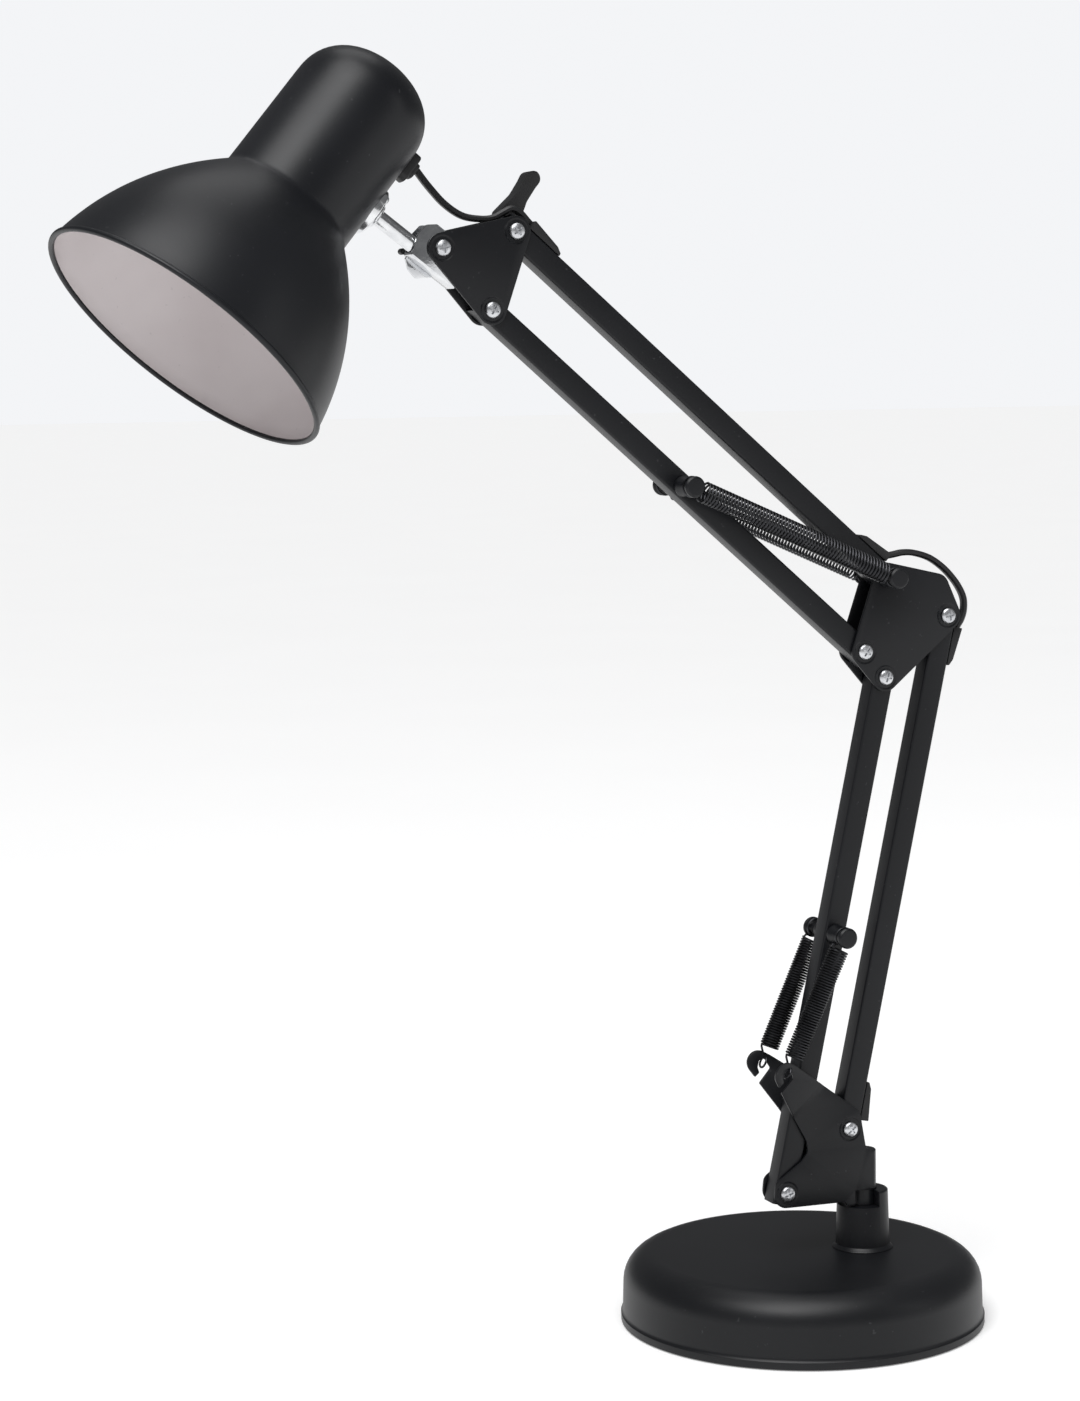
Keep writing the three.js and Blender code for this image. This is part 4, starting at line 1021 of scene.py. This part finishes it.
# %% Floor and light
floor_mesh = bmesh.new()
bmesh.ops.create_grid(floor_mesh, x_segments=1, y_segments=1, size=40)
floor_shader = Shader("pale_floor", Specular_IOR_Level=0.2, Emission_Strength=0.25)
floor_shader.set("Base Color", floor_shader.mix((0.87, 0.87, 0.87, 1), (0.9, 0.9, 0.9, 1),
                                                floor_shader.noise(3)))
floor_shader.set("Roughness", floor_shader.noise(60) * 0.1 + 0.6)
mesh = bpy.data.meshes.new("floor")
floor_mesh.to_mesh(mesh)
floor_mesh.free()
mesh.materials.append(floor_shader.material)
floor = bpy.data.objects.new("floor", mesh)
bpy.context.scene.collection.objects.link(floor)


def area_light(name, place, target, size, power):
    data = bpy.data.lights.new(name, "AREA")
    data.shape = "RECTANGLE"
    data.size, data.size_y = size
    data.energy = power
    made = bpy.data.objects.new(name, data)
    bpy.context.scene.collection.objects.link(made)
    made.matrix_world = facing(Vector(place) - Vector(target), place)
    return made


area_light("key", (-1.2, -1.2, 2.2), (-0.1, 0, 0.35), (0.9, 0.9), 14)
area_light("fill", (1.9, -1.5, 1.1), (0, 0, 0.3), (0.7, 1.2), 3)
area_light("top", (0.2, 0.7, 2.4), (0, 0, 0.3), (1.2, 1.2), 6)
sun_data = bpy.data.lights.new("sky_sun", "SUN")
sun_data.energy = 2.2
sun_data.angle = math.radians(50)
sun = bpy.data.objects.new("sky_sun", sun_data)
bpy.context.scene.collection.objects.link(sun)
sun.matrix_world = facing((-0.3, -0.35, 1))
world = bpy.data.worlds.new("studio")
world.use_nodes = True
sky = world.node_tree.nodes["Background"]
sky.inputs["Color"].default_value = (0.97, 0.98, 1.0, 1)
rays = world.node_tree.nodes.new("ShaderNodeLightPath")
brightness = world.node_tree.nodes.new("ShaderNodeMapRange")
brightness.inputs["To Min"].default_value = 0.16
brightness.inputs["To Max"].default_value = 0.93
world.node_tree.links.new(rays.outputs["Is Camera Ray"], brightness.inputs["Value"])
world.node_tree.links.new(brightness.outputs["Result"], sky.inputs["Strength"])
bpy.context.scene.world = world
bpy.context.scene.view_settings.view_transform = "Standard"
